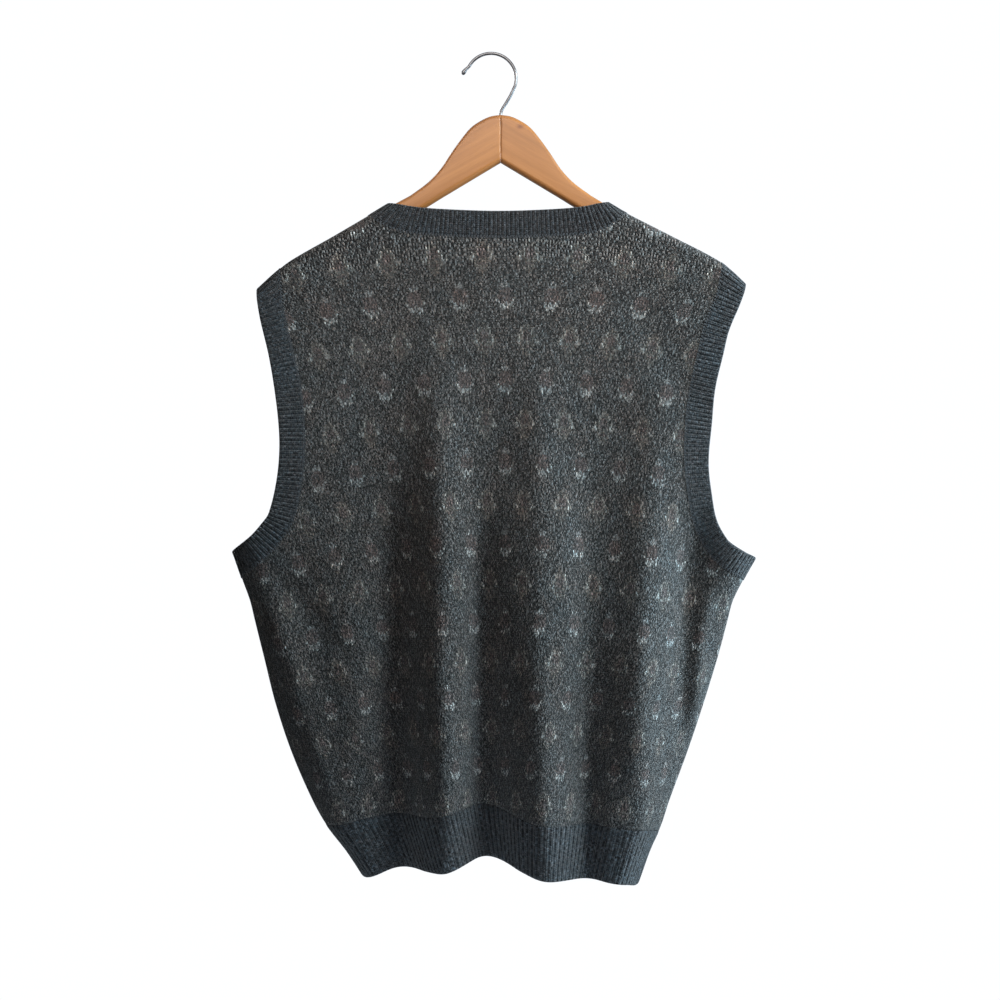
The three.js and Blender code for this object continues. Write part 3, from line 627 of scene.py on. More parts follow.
def hemPlace(face):
    ends = hemZ[face](np.array([hemLeft, hemRight]))

    def place(front, across, share):
        rise = clothSizes["hemRibDrop"] * (1 - share)
        z = hemZ[face](mix(hemLeft, hemRight, across)) + rise
        return acrossX(across, ends[0] + rise, ends[1] + rise), z

    return place


def onFaces(front, x, z, apart):
    at = np.empty(x.shape + (3,))
    out = np.empty(x.shape + (3,))
    for face, chosen in (("back", ~front), ("front", front)):
        if chosen.any():
            at[..., chosen, :], out[..., chosen, :] = clothPoints(face, x[..., chosen], z[..., chosen], apart)
    return at, out


def reachAlong(place, front, param, closed):
    # how far along the middle of the band each sample is
    at = onFaces(front, *place(front, param, 0.5), 0.0)[0]
    if closed:
        at = np.concatenate([at, at[:1]])
    return np.concatenate([[0], np.cumsum(np.linalg.norm(np.diff(at, axis=0), axis=1))])


def evenStations(reached, front, param, count, closed):
    if closed:
        param = np.append(param, param[0])
        front = np.append(front, front[-1])
    steps = np.arange(count + (0 if closed else 1)) * reached[-1] / count
    low = np.clip(np.searchsorted(reached, steps, side="right") - 1, 0, len(reached) - 2)
    return np.interp(steps, reached, param), front[low]


def makeBand(name, place, front, param, sizes, closed, knit):
    apart = 0.0 if closed else clothSizes["seamGap"] / 2
    reached = reachAlong(place, front, param, closed)
    ribs = int(round(reached[-1] / sizes["pitch"]))
    stationParam, stationFront = evenStations(reached, front, param, ribs * columnsPerRib, closed)
    sewnX, sewnZ = place(stationFront, stationParam, 0.0)
    freeX, freeZ = place(stationFront, stationParam, 1.0)
    width = np.hypot(freeX - sewnX, freeZ - sewnZ)
    section = crossSection(sizes["rowsAcross"], sizes["seamDip"])
    share = np.maximum(section[:, :1], clothSizes["seamGap"] / width)
    x, z = place(stationFront, stationParam, share)
    at, out = onFaces(stationFront, x, z, apart)
    points = at + out * section[:, None, None, 1]
    if not closed:
        side = 1.0 if front[0] else -1.0
        points[..., 1] = side * np.maximum(side * points[..., 1], apart)
    index = np.arange(x.size).reshape(x.shape)
    quads = gridQuads(index, closed, True)
    wale = np.broadcast_to(np.arange(len(stationParam)) / columnsPerRib, x.shape)
    course = np.broadcast_to(section[:, :1] * width.mean() / clothSizes["courseTall"], x.shape)
    uv = np.stack([wale, course], -1).reshape(-1, 2)[quads.ravel()].reshape(-1, 4, 2)
    if closed:
        joining = np.ptp(uv[:, :, 0], axis=1) > ribs / 2
        uv[joining, :, 0] += np.where(uv[joining, :, 0] < ribs / 2, ribs, 0)
    piece = meshFromGrids(name, points.reshape(-1, 3), quads, uv.reshape(-1, 2))
    keepValues(piece.data, wale=wale, outerRib=np.broadcast_to(section[:, 2:3], x.shape),
               innerRib=np.broadcast_to(section[:, 3:4], x.shape))
    keepDirections(piece.data, away=out)
    if not closed:
        closeEnds(piece, index)
    outwards(piece)
    raiseRibs(piece, sizes["ribHeight"], knit)
    print(f"  {name}: {reached[-1]:.0f} mm round, {width.mean():.0f} mm deep, {ribs} ribs")
    return piece


def keepValues(mesh, **numbers):
    for label, values in numbers.items():
        layer = mesh.attributes.new(label, "FLOAT", "POINT")
        layer.data.foreach_set("value", values.astype(np.float32).ravel())


def keepDirections(mesh, **directions):
    for label, values in directions.items():
        layer = mesh.attributes.new(label, "FLOAT_VECTOR", "POINT")
        layer.data.foreach_set("vector", values.astype(np.float32).ravel())


def closeEnds(piece, index):
    work = bmesh.new()
    work.from_mesh(piece.data)
    work.verts.ensure_lookup_table()
    for rim in (index[:, 0], index[:, -1]):
        work.faces.new([work.verts[i] for i in rim])
    bmesh.ops.recalc_face_normals(work, faces=work.faces)
    finishMesh(work, piece.data)


def newTree(name, numbers):
    # a Geometry Nodes group with named numbers and a material, and the identifiers of its inputs
    tree = bpy.data.node_groups.new(name, "GeometryNodeTree")
    face = tree.interface
    face.new_socket("Geometry", in_out="INPUT", socket_type="NodeSocketGeometry")
    kinds = {**{label: "NodeSocketFloat" for label in numbers}, "Material": "NodeSocketMaterial"}
    sockets = {label: face.new_socket(label, in_out="INPUT", socket_type=kind).identifier
               for label, kind in kinds.items()}
    face.new_socket("Geometry", in_out="OUTPUT", socket_type="NodeSocketGeometry")
    return tree, tree.nodes.new("NodeGroupInput"), tree.nodes.new("NodeGroupOutput"), sockets


def finishTree(tree, start, end, geometry):
    single = makeNode(tree, "GeometryNodeRealizeInstances", {0: geometry}).outputs[0]
    inputs = {"Geometry": single, "Material": start.outputs["Material"]}
    tree.links.new(makeNode(tree, "GeometryNodeSetMaterial", inputs).outputs[0], end.inputs[0])


def namedValue(tree, name, kind="FLOAT"):
    read = makeNode(tree, "GeometryNodeInputNamedAttribute", {"Name": name}, data_type=kind)
    return read.outputs["Attribute"]


def keepResult(piece, modifier):
    # the piece keeps the mesh that its modifier makes
    bpy.context.view_layer.update()
    depsgraph = bpy.context.evaluated_depsgraph_get()
    mesh = bpy.data.meshes.new_from_object(piece.evaluated_get(depsgraph), depsgraph=depsgraph)
    piece.modifiers.remove(modifier)
    piece.data = mesh
    return piece


def applied(piece, tree, settings):
    modifier = piece.modifiers.new(tree.name, "NODES")
    modifier.node_group = tree
    for identifier, value in settings.items():
        modifier[identifier] = value
    return keepResult(piece, modifier)


def ribTree():
    tree, start, end, sockets = newTree("raisedRibs", ("Rib height", "Inside rib height"))
    roundness = 0.55  # below one, ribs are broad and the grooves between them narrow

    def ridge(shift, presence, height):
        turn = times(tree, plus(tree, namedValue(tree, "wale"), shift), math.pi)
        wave = absolute(tree, numberNode(tree, "COSINE", turn))
        shape = numberNode(tree, "POWER", wave, roundness)
        shown = times(tree, shape, namedValue(tree, presence))
        return times(tree, shown, start.outputs[height])

    lift = numberNode(tree, "SUBTRACT", ridge(0.5, "outerRib", "Rib height"),
                      ridge(0.0, "innerRib", "Inside rib height"))
    away = namedValue(tree, "away", "FLOAT_VECTOR")
    offset = makeNode(tree, "ShaderNodeVectorMath", {0: away, "Scale": lift}, operation="SCALE").outputs[0]
    inputs = {"Geometry": start.outputs["Geometry"], "Offset": offset}
    finishTree(tree, start, end, makeNode(tree, "GeometryNodeSetPosition", inputs).outputs[0])
    return tree, sockets


def raiseRibs(piece, height, knit):
    tree, sockets = ribNodes
    applied(piece, tree, {sockets["Rib height"]: height * mm,
                          sockets["Inside rib height"]: insideRib * mm,
                          sockets["Material"]: knit})


def thereAndBack(first, last, count):
    # steps are closer together at both ends, where the band passes from one face to the other
    half = mix(first, last, (1 - np.cos(np.linspace(0, np.pi, count))) / 2)
    front = np.concatenate([np.zeros(count, bool), np.ones(count, bool)])
    return front, np.concatenate([half, half[::-1]])


def armholeSamples(side):
    return thereAndBack(armhole[side]["top"], armhole[side]["foot"], armholeBand["samples"])


def neckSamples():
    return thereAndBack(neckLeft, neckRight, neckBand["samples"])


def makeArmholeBand(side, name):
    front, z = armholeSamples(side)
    return makeBand(name, armholePlace(side), front, z, armholeBand, True, edgeKnitPaintedLight)


def makeNeckband(name):
    front, x = neckSamples()
    return makeBand(name, neckPlace, front, x, neckBand, True, neckKnit)


def makeHemRib(face, name):
    across = np.linspace(0, 1, hemBand["samples"])
    front = np.full(len(across), face == "front")
    return makeBand(name, hemPlace(face), front, across, hemBand, False, edgeKnitPaintedLight)


# Knitting: cells of the chart, loops with two legs, and a marled wool yarn

knitColours = {
    "ground": (0.0550, 0.0528, 0.0513, 1),
    "brown": (0.098, 0.080, 0.076, 1),
    "taupe": (0.116, 0.106, 0.096, 1),
    "pale": (0.168, 0.168, 0.165, 1),
    "bright": (0.240, 0.242, 0.235, 1),
    "ring": (0.176, 0.168, 0.155, 1),
    "net": (0.072, 0.073, 0.073, 1),
    # neckRib and edgeRibPaintedLight are one rib yarn in two tones: painted light sets the hem and armhole
    # bands lighter than the neckband
    "neckRib": (0.036, 0.040, 0.045, 1),
    "edgeRibPaintedLight": (0.051, 0.056, 0.062, 1),
}
knitPattern = {
    "walesPerRepeat": 16,
    "coursesPerRepeat": 2 * halfRepeatCourses,
    "cappedOval": ["...p...", "..ppp..", "..ppp..", "..bbb..", ".bbbbb.", ".bbbbb.", ".bbbbb.", "tbbbbbt",
                   "wbbbbbw", ".wbpbw.", ".wwpww.", ".wwwww.", "..w.w..", ".......", "...t..."],
    "dottedOval": ["....t....", "...ttt...", "..qtttq..", "..qtbtq..", "..qbbbq..", ".qtbbbtq.", ".qtbbbtq.",
                   "qwtbbbtwq", "qwtttttwq", ".ttttttt.", "..tbbbt..", "..ttttt..", "...ttt...", "...ttt...",
                   "....t...."],
    "letters": {"w": "bright", "p": "pale", "b": "brown", "t": "taupe", "q": "ring"},
    "missed": 0.14,  # share of motif loops that the dark yarn hides
    "netWidth": 0.062,
    "netShown": 0.8,
    "contrast": 0.86,  # of the marled yarn at the shoulders, then what each course and each motif add
    "contrastPerCourse": 0.0018,
    "contrastOnMotifs": -0.4,
}
ribLooks = {
    "ridge": 1.12,  # brightness of the yarn on the ribs and in the grooves: a painted highlight on the ribs and painted shade in the grooves
    "grooveShade": 0.78,
    "contrast": 0.45,
}
loopShape = {
    "panelLegs": 0.25,  # how far a loop's legs stand from its middle, in wales
    "ribLegs": 0.17,
    "legLean": 0.85,  # how much higher a leg is further out
    "hollow": 0.55,  # how far the loop dips at its ends
    "legRoundness": 0.6,
}
yarnLooks = {
    "legShare": 0.42,  # how much the lighter leg, the fibres and the single lengths of yarn add to the marl
    "fibreShare": 0.75,
    "lengthShare": 0.5,
    "legBalance": 0.38,  # share of loops whose lighter leg is the other one
    "tint": 0.8,
    "patchTint": 0.4,
    "streaksPerWale": 2.4,
    "streaksPerCourse": 2.1,
    "loopRelief": (0.0011, 0.9),  # metres, strength
    "fuzzRelief": (0.0012, 0.7),
}
yarnSurface = {"Roughness": 0.95, "Specular IOR Level": 0.02, "Sheen Weight": 0.25, "Sheen Roughness": 0.5}
marlTones = [(0.16, 0.03), (0.36, 0.26), (0.50, 0.76), (0.64, 1.70), (0.84, 4.0)]  # yarn noise, brightness
brightestTone = 4.0
fibreTints = [(0.33, (1.22, 0.96, 0.86, 1)), (0.47, (1.02, 1, 0.98, 1)), (0.55, (0.98, 1, 1.02, 1)),
              (0.68, (0.82, 1.01, 1.10, 1))]


def loops(tree, legAt):
    place = tree.nodes.new("ShaderNodeUVMap")
    place.uv_map = "cloth"
    across, down, _ = splitAxes(tree, place.outputs[0])
    inWale = fraction(tree, across)
    fromMiddle = absolute(tree, numberNode(tree, "SUBTRACT", inWale, 0.5))
    leaning = timesPlus(tree, fromMiddle, loopShape["legLean"], down)
    wale = whole(tree, across)
    course = whole(tree, leaning)
    inCourse = fraction(tree, leaning)
    legSide = timesPlus(tree, fromMiddle, 1 / legAt, -1.0)
    leg = timesPlus(tree, times(tree, legSide, legSide), -1.0, 1.0)
    leg = numberNode(tree, "MAXIMUM", leg, 0.0)
    turn = timesPlus(tree, inCourse, 2.0, -1.0)
    loop = timesPlus(tree, times(tree, turn, turn), -loopShape["hollow"], 1.0)
    height = times(tree, numberNode(tree, "POWER", leg, loopShape["legRoundness"]), loop)
    # each leg of a loop has its own light or dark length of the twisted yarn
    chance = whiteNode(tree, wale, course)
    legSide = numberNode(tree, "SIGN", plus(tree, inWale, -0.5))
    turned = timesPlus(tree, numberNode(tree, "MODULO", course, 2.0), 2.0, -1.0)
    swing = times(tree, times(tree, legSide, turned), plus(tree, chance, -yarnLooks["legBalance"]))
    legs = whole(tree, times(tree, across, 2.0))
    halves = whole(tree, times(tree, leaning, 2.0))
    streaks = combine(tree, times(tree, across, yarnLooks["streaksPerWale"]),
                      times(tree, leaning, yarnLooks["streaksPerCourse"]))
    return {
        "wale": wale,
        "course": course,
        "height": height,
        "across": across,
        "down": down,
        "swing": swing,
        "legChance": whiteNode(tree, legs, course),
        "halfChance": whiteNode(tree, legs, halves),
        "fibre": noiseNode(tree, streaks, 1.0, 1.5, 0.6),
    }


def whiteNode(tree, x, y):
    place = combine(tree, x, y)
    return makeNode(tree, "ShaderNodeTexWhiteNoise", {"Vector": place}, noise_dimensions="2D").outputs[0]


def chartColour(tree, chart, columns, rows):
    # the chart is the same to both sides of its middle, so one ramp serves each distance from it
    half = len(chart[0]) // 2
    blank = (0, 0, 0, 0)
    steps = len(chart) + 2  # one blank row is added above the chart and one below
    share = numberNode(tree, "DIVIDE", plus(tree, rows, 1.5), float(steps))
    colour, cover = None, None
    for distance in range(half + 1):
        letters = [knitPattern["letters"].get(line[half + distance]) for line in chart]
        colours = [blank] + [knitColours[letter] if letter else blank for letter in letters] + [blank]
        stops = [(row / steps, shade) for row, shade in enumerate(colours)]
        ramp = rampNode(tree, share, stops, "CONSTANT")
        if colour is None:
            colour, cover = ramp.outputs[0], ramp.outputs[1]
            continue
        further = numberNode(tree, "GREATER_THAN", columns, distance - 0.5)
        colour = colourMix(tree, further, colour, ramp.outputs[0])
        cover = makeNode(tree, "ShaderNodeMix", {0: further, 2: cover, 3: ramp.outputs[1]}).outputs[0]
    beyond = numberNode(tree, "LESS_THAN", columns, half + 0.5)
    return colour, times(tree, cover, beyond)


def wrapped(tree, count, shift, repeat):
    return numberNode(tree, "WRAP", plus(tree, count, -shift), repeat / 2, -repeat / 2)


def repeatPlace(tree, knit, shiftWale, shiftCourse):
    column = wrapped(tree, knit["wale"], shiftWale, knitPattern["walesPerRepeat"])
    row = wrapped(tree, knit["course"], shiftCourse, knitPattern["coursesPerRepeat"])
    return column, row


def marl(tree, knit, contrast):
    # brightness of the twisted light and dark yarn: each leg of a loop shows more of one of them
    share = times(tree, knit["swing"], yarnLooks["legShare"])
    for chance, part in (("fibre", "fibreShare"), ("halfChance", "lengthShare")):
        centred = plus(tree, knit[chance], -0.5)
        share = timesPlus(tree, centred, yarnLooks[part], share)
    share = timesPlus(tree, share, contrast, 0.5)
    stops = [(at, (*[tone / brightestTone] * 3, 1)) for at, tone in marlTones]
    return times(tree, rampNode(tree, share, stops).outputs[0], brightestTone)


def tinted(tree, knit, colour):
    # single fibres and whole patches lean to brown, teal or violet
    fibrePlace = combine(tree, times(tree, knit["across"], 1.7), knit["down"], 7.0)
    fibre = noiseNode(tree, fibrePlace, 1.0, 2.0, 0.6)
    colour = multiplied(tree, colour, rampNode(tree, fibre, fibreTints).outputs[0], yarnLooks["tint"])
    patchPlace = combine(tree, knit["across"], times(tree, knit["down"], 0.6), 3.0)
    patch = noiseNode(tree, patchPlace, 0.14)
    share = yarnLooks["tint"] * yarnLooks["patchTint"]
    return multiplied(tree, colour, rampNode(tree, patch, fibreTints).outputs[0], share)


def wool(tree, shader, colour, knit, contrast):
    tone = marl(tree, knit, contrast)
    colour = multiplied(tree, tinted(tree, knit, colour), combine(tree, tone, tone, tone))
    tree.links.new(colour, shader.inputs["Base Color"])
    yarn = bumpNode(tree, knit["height"], *yarnLooks["loopRelief"])
    fuzz = bumpNode(tree, knit["fibre"], *yarnLooks["fuzzRelief"], yarn)
    tree.links.new(fuzz, shader.inputs["Normal"])


def panelKnitMaterial():
    material, tree, shader = newMaterial("panelKnit", yarnSurface)
    knit = loops(tree, loopShape["panelLegs"])
    halfWales, halfCourses = knitPattern["walesPerRepeat"] / 2, knitPattern["coursesPerRepeat"] / 2
    column, row = repeatPlace(tree, knit, 0, halfCourses)
    away = absolute(tree, column)
    near = timesPlus(tree, absolute(tree, row), 1 / halfCourses, times(tree, away, 1 / halfWales))
    fromNet = absolute(tree, plus(tree, near, -1.0))
    onNet = numberNode(tree, "LESS_THAN", fromNet, knitPattern["netWidth"])
    netShown = times(tree, onNet, knitPattern["netShown"])
    colour = colourMix(tree, netShown, knitColours["ground"], knitColours["net"])
    present = numberNode(tree, "GREATER_THAN", knit["legChance"], knitPattern["missed"])
    contrast = timesPlus(tree, knit["down"], knitPattern["contrastPerCourse"], knitPattern["contrast"])
    for name, shiftWale, shiftCourse in (("cappedOval", 0, halfCourses), ("dottedOval", halfWales, 0)):
        chart = knitPattern[name]
        column, row = repeatPlace(tree, knit, shiftWale, shiftCourse - len(chart) // 2)
        drawn, cover = chartColour(tree, chart, absolute(tree, column), row)
        colour = colourMix(tree, times(tree, cover, present), colour, drawn)
        contrast = timesPlus(tree, cover, knitPattern["contrastOnMotifs"], contrast)
    wool(tree, shader, colour, knit, contrast)
    return material


def dimmed(colour, share):
    return tuple(share * part for part in colour[:3]) + (1,)


def ribKnitMaterial(name, yarn):
    material, tree, shader = newMaterial(name, yarnSurface)
    knit = loops(tree, loopShape["ribLegs"])
    # painted highlight and shade: the yarn's colour is set lighter on each rib and darker in the groove
    # between ribs
    turn = times(tree, knit["across"], math.pi)
    grooveShade = absolute(tree, numberNode(tree, "COSINE", turn))
    stops = [(0.0, dimmed(yarn, ribLooks["ridge"])), (1.0, dimmed(yarn, ribLooks["grooveShade"]))]
    wool(tree, shader, rampNode(tree, grooveShade, stops).outputs[0], knit, ribLooks["contrast"])
    return material


def threadMaterial(name, colour):
    material, tree, shader = newMaterial(name, {"Roughness": 0.85, "Sheen Weight": 0.3})
    place = tree.nodes.new("ShaderNodeTexCoord").outputs["Object"]
    fibre = noiseNode(tree, place, 2400.0, 2.0)
    stops = [(0.3, dimmed(colour, 0.6)), (0.7, colour)]
    tree.links.new(rampNode(tree, fibre, stops).outputs[0], shader.inputs["Base Color"])
    tree.links.new(bumpNode(tree, fibre, 0.0004, 0.6), shader.inputs["Normal"])
    return material


woodLooks = {
    "grain": [(0.25, (0.33, 0.126, 0.030, 1)), (0.48, (0.40, 0.156, 0.040, 1)),
              (0.66, (0.46, 0.188, 0.052, 1)), (0.8, (0.37, 0.142, 0.035, 1))],
    "pores": [(0.32, (0.72, 0.66, 0.6, 1)), (0.45, (1, 1, 1, 1))],
    "knot": [(0.12, (0.42, 0.30, 0.22, 1)), (0.3, (0.78, 0.70, 0.62, 1)), (0.42, (0.9, 0.86, 0.8, 1)),
             (0.62, (1, 1, 1, 1))],  # distance from its middle in centimetres, colour
    "poresShown": 0.35,
    "knotShown": 0.8,
    "knotAt": (0.029, -0.073),
    "knotSquash": 1.4,
    "armsApart": 0.13,  # sets the grain of one arm off from the other's
}
woodSurface = {"Roughness": 0.42, "Coat Weight": 0.15, "Coat Roughness": 0.25}


def woodMaterial():
    material, tree, shader = newMaterial("blondWood", woodSurface)
    x, y, z = splitAxes(tree, tree.nodes.new("ShaderNodeTexCoord").outputs["Object"])
    beside = plus(tree, x, -hangerSizes["middle"] * mm)
    fromJoint = absolute(tree, beside)
    # the grain runs out and down along each arm, so it is read across that slope
    acrossArm = timesPlus(tree, fromJoint, 0.56, z)
    alongArm = timesPlus(tree, fromJoint, 0.87, times(tree, z, -0.5))
    side = times(tree, numberNode(tree, "SIGN", beside), woodLooks["armsApart"])
    grainPlace = combine(tree, alongArm, acrossArm, plus(tree, y, side))
    bands = noiseNode(tree, stretched(tree, grainPlace, (6, 110, 40)), 1.0, 3.0, 0.5)
    pores = noiseNode(tree, stretched(tree, grainPlace, (60, 1500, 900)), 1.0, 2.0)
    colour = rampNode(tree, bands, woodLooks["grain"]).outputs[0]
    speck = rampNode(tree, pores, woodLooks["pores"]).outputs[0]
    colour = multiplied(tree, colour, speck, woodLooks["poresShown"])
    knotX, knotZ = woodLooks["knotAt"]
    knotUp = times(tree, plus(tree, z, -knotZ), woodLooks["knotSquash"])
    knotAway = combine(tree, plus(tree, x, -knotX), knotUp)
    metres = makeNode(tree, "ShaderNodeVectorMath", {0: knotAway}, operation="LENGTH").outputs["Value"]
    centimetres = times(tree, metres, 100.0)
    ring = rampNode(tree, centimetres, woodLooks["knot"]).outputs[0]
    colour = multiplied(tree, colour, ring, woodLooks["knotShown"])
    tree.links.new(colour, shader.inputs["Base Color"])
    tree.links.new(bumpNode(tree, pores, 0.0003, 0.25), shader.inputs["Normal"])
    return material


def steelMaterial():
    material, tree, shader = newMaterial("brightSteel", {"Metallic": 1.0})
    place = tree.nodes.new("ShaderNodeTexCoord").outputs["Object"]
    drawn = noiseNode(tree, stretched(tree, place, (2600, 2600, 160)), 1.0, 2.0)
    wear = noiseNode(tree, place, 130.0, 3.0)
    shade = rampNode(tree, wear, [(0.3, (0.11, 0.11, 0.115, 1)), (0.6, (0.19, 0.19, 0.195, 1))]).outputs[0]
    tree.links.new(shade, shader.inputs["Base Color"])
    rough = timesPlus(tree, drawn, 0.18, 0.14)
    tree.links.new(rough, shader.inputs["Roughness"])
    tree.links.new(bumpNode(tree, drawn, 0.0001, 0.15), shader.inputs["Normal"])
    return material


# Small stitches laid on points: the linked seams and a short darn under the neckband

stitchSizes = {
    "spacing": 2.9,
    "long": 3.4,
    "wide": 1.05,
    "thick": 0.8,
    "slant": 0.5,
    "lift": 0.25,
    "beside": 0.55,  # how far each of the two rows lies from the seam's line
    "unevenness": 0.12,
}
darnSizes = {
    "from": (47.5, -187.5),
    "to": (77.0, -190.5),
    "count": 11,
    "long": 3.6,
    "wide": 0.7,
    "thick": 0.6,
    "slant": 1.3,
    "lift": 0.35,
    "unevenness": 0.25,
}
speckSizes = {
    "at": (22.0, -253.0),
    "long": 2.2,
    "wide": 1.3,
    "thick": 0.8,
    "slant": 0.6,
    "lift": 0.3,
    "unevenness": 0.0,
}


def stitchTree():
    tree, start, end, sockets = newTree("laidStitches", ("Long", "Wide", "Thick", "Slant", "Unevenness"))
    sizes = start.outputs
    ball = makeNode(tree, "GeometryNodeMeshUVSphere", {"Segments": 7, "Rings": 5, "Radius": 0.5}).outputs[0]
    smooth = makeNode(tree, "GeometryNodeSetShadeSmooth", {"Geometry": ball}).outputs[0]
    axes = {"Primary Axis": namedValue(tree, "away", "FLOAT_VECTOR"),
            "Secondary Axis": namedValue(tree, "along", "FLOAT_VECTOR")}
    laid = makeNode(tree, "FunctionNodeAxesToRotation", axes, primary_axis="Z", secondary_axis="X").outputs[0]
    between = {2: -1.0, 3: 1.0, "Seed": 4}
    chance = makeNode(tree, "FunctionNodeRandomValue", between, data_type="FLOAT").outputs[1]
    wobble = times(tree, chance, sizes["Unevenness"])
    slant = times(tree, sizes["Slant"], namedValue(tree, "lean"))
    angles = combine(tree, 0.0, 0.0, plus(tree, slant, wobble))
    turn = {0: laid, 1: makeNode(tree, "FunctionNodeEulerToRotation", {0: angles}).outputs[0]}
    turned = makeNode(tree, "FunctionNodeRotateRotation", turn, rotation_space="LOCAL").outputs[0]
    long = times(tree, sizes["Long"], timesPlus(tree, wobble, 0.8, 1.0))
    inputs = {"Points": sizes["Geometry"], "Instance": smooth, "Rotation": turned,
              "Scale": combine(tree, long, sizes["Wide"], sizes["Thick"])}
    finishTree(tree, start, end, makeNode(tree, "GeometryNodeInstanceOnPoints", inputs).outputs[0])
    return tree, sockets


def laidStitches(name, at, away, along, lean, sizes, material):
    mesh = bpy.data.meshes.new(name)
    mesh.from_pydata([tuple(point) for point in at * mm], [], [])
    keepDirections(mesh, away=away, along=along)
    keepValues(mesh, lean=lean)
    tree, sockets = stitchNodes
    settings = {sockets[part]: sizes[part.lower()] * mm for part in ("Long", "Wide", "Thick")}
    settings[sockets["Slant"]] = sizes["slant"]
    settings[sockets["Unevenness"]] = sizes["unevenness"]
    settings[sockets["Material"]] = material
    return applied(addPiece(name, mesh), tree, settings)


def seamStitches(name, place, front, param):
    # two rows of slanted loops that lean together, as a linked seam does
    sizes = stitchSizes
    reached = reachAlong(place, front, param, True)
    count = int(round(reached[-1] / sizes["spacing"]))
    param, front = evenStations(reached, front, param, count, True)
    x, z = place(front, param, 0.0)
    at, away = onFaces(front, x, z, 0.0)
    along = np.roll(at, -1, axis=0) - at
    along /= np.maximum(np.linalg.norm(along, axis=1, keepdims=True), 1e-6)
    beside = np.cross(away, along)
    rows = []
    for lean in (-1.0, 1.0):
        lifted = at + beside * lean * sizes["beside"] + away * sizes["lift"]
        rows.append((lifted, away, along, np.full(len(at), lean)))
    return laidStitches(name, *[np.concatenate(parts) for parts in zip(*rows)], sizes, seamThread)


def paleStitches(name, x, z, sizes):
    at, away = clothPoints("back", x, z)
    along = np.tile([1.0, 0.0, 0.0], (len(x), 1))
    return laidStitches(name, at + away * sizes["lift"], away, along, np.ones(len(x)), sizes, paleThread)


def darnStitches():
    share = np.linspace(0, 1, darnSizes["count"])
    x, z = (mix(first, last, share) for first, last in zip(darnSizes["from"], darnSizes["to"]))
    return paleStitches("darnStitches", x, z, darnSizes)


def lintSpeck():
    x, z = (np.array([part]) for part in speckSizes["at"])
    return paleStitches("lintSpeck", x, z, speckSizes)


# Hanger: two arms of blond wood meeting at a glued joint, and a bright wire hook

hangerSizes = {
    "middle": 9.6,
    "bareEnd": 90.0,  # the wood is bare to here, out from its middle
    "sleeveStart": 113.0,  # and keeps under the cloth between these two
    "sleeveEnd": 204.0,
    "halfSpan": 218.0,
    "halfThickness": 5.8,
    "jointBevel": 0.5,
    "endRound": 9.0,
    "clearance": 0.7,
    "innerHeight": 24.0,
    "outerHeight": 17.0,
    "taperLength": 100.0,
}
hookSizes = {
    "wire": 1.6,
    "sides": 24,
    "bend": 25.0,
    "bendSteps": 40,
    "stemFoot": -98.0,
    "stemTop": -60.4,
    "straightEnd": 8.0,  # below the stem's top
    "leaveAngle": -25.0,
    "tipAngle": 152.0,
}
bareWood = [(0, -60, -108), (10, -61.5, -114), (20, -66, -120), (30, -73, -126), (40, -85, -132),
            (50, -99, -138), (60, -114, -144), (72, -127, -151.5), (90, -140.5, -162.5)]  # out, top, under
hookLean = [(0, 1), (0.6, 4), (2.4, 7.5), (6, 13), (9.8, 19.5)]  # out from the stem, up from its top
hookFlare = [(-25.2, -14.4, 1.6), (-26.6, -16.4, 2.2), (-27.8, -18.0, 2.2), (-28.6, -19.1, 1.65),
             (-28.9, -19.5, 0.66)]  # across, up, wire radius


def underCloth(x):
    slope = shoulderZ(x + 1) - shoulderZ(x)
    return shoulderZ(x) - (clothSizes["wall"] + hangerSizes["clearance"]) * np.hypot(1, slope)


def armSection(x, top, under, thickness):
    steps = 16
    radius = min(thickness, (top - under) / 2)
    turn = np.linspace(0, np.pi, steps)
    upper = [(x, thickness * math.cos(a), top - radius + radius * math.sin(a)) for a in turn]
    lower = [(x, -thickness * math.cos(a), under + radius - radius * math.sin(a)) for a in turn]
    return upper + lower


def loft(name, rings):
    sides = len(rings[0])
    mesh = bpy.data.meshes.new(name)
    work = bmesh.new()
    rows = [[work.verts.new(Vector(point) * mm) for point in ring] for ring in rings]
    for near, far in zip(rows[:-1], rows[1:]):
        for k in range(sides):
            work.faces.new([near[k], near[(k + 1) % sides], far[(k + 1) % sides], far[k]])
    work.faces.new(rows[0])
    work.faces.new(rows[-1])
    bmesh.ops.remove_doubles(work, verts=work.verts, dist=1e-6)
    bmesh.ops.recalc_face_normals(work, faces=work.faces)
    for face in work.faces:
        face.smooth = True
    finishMesh(work, mesh)
    return addPiece(name, mesh)


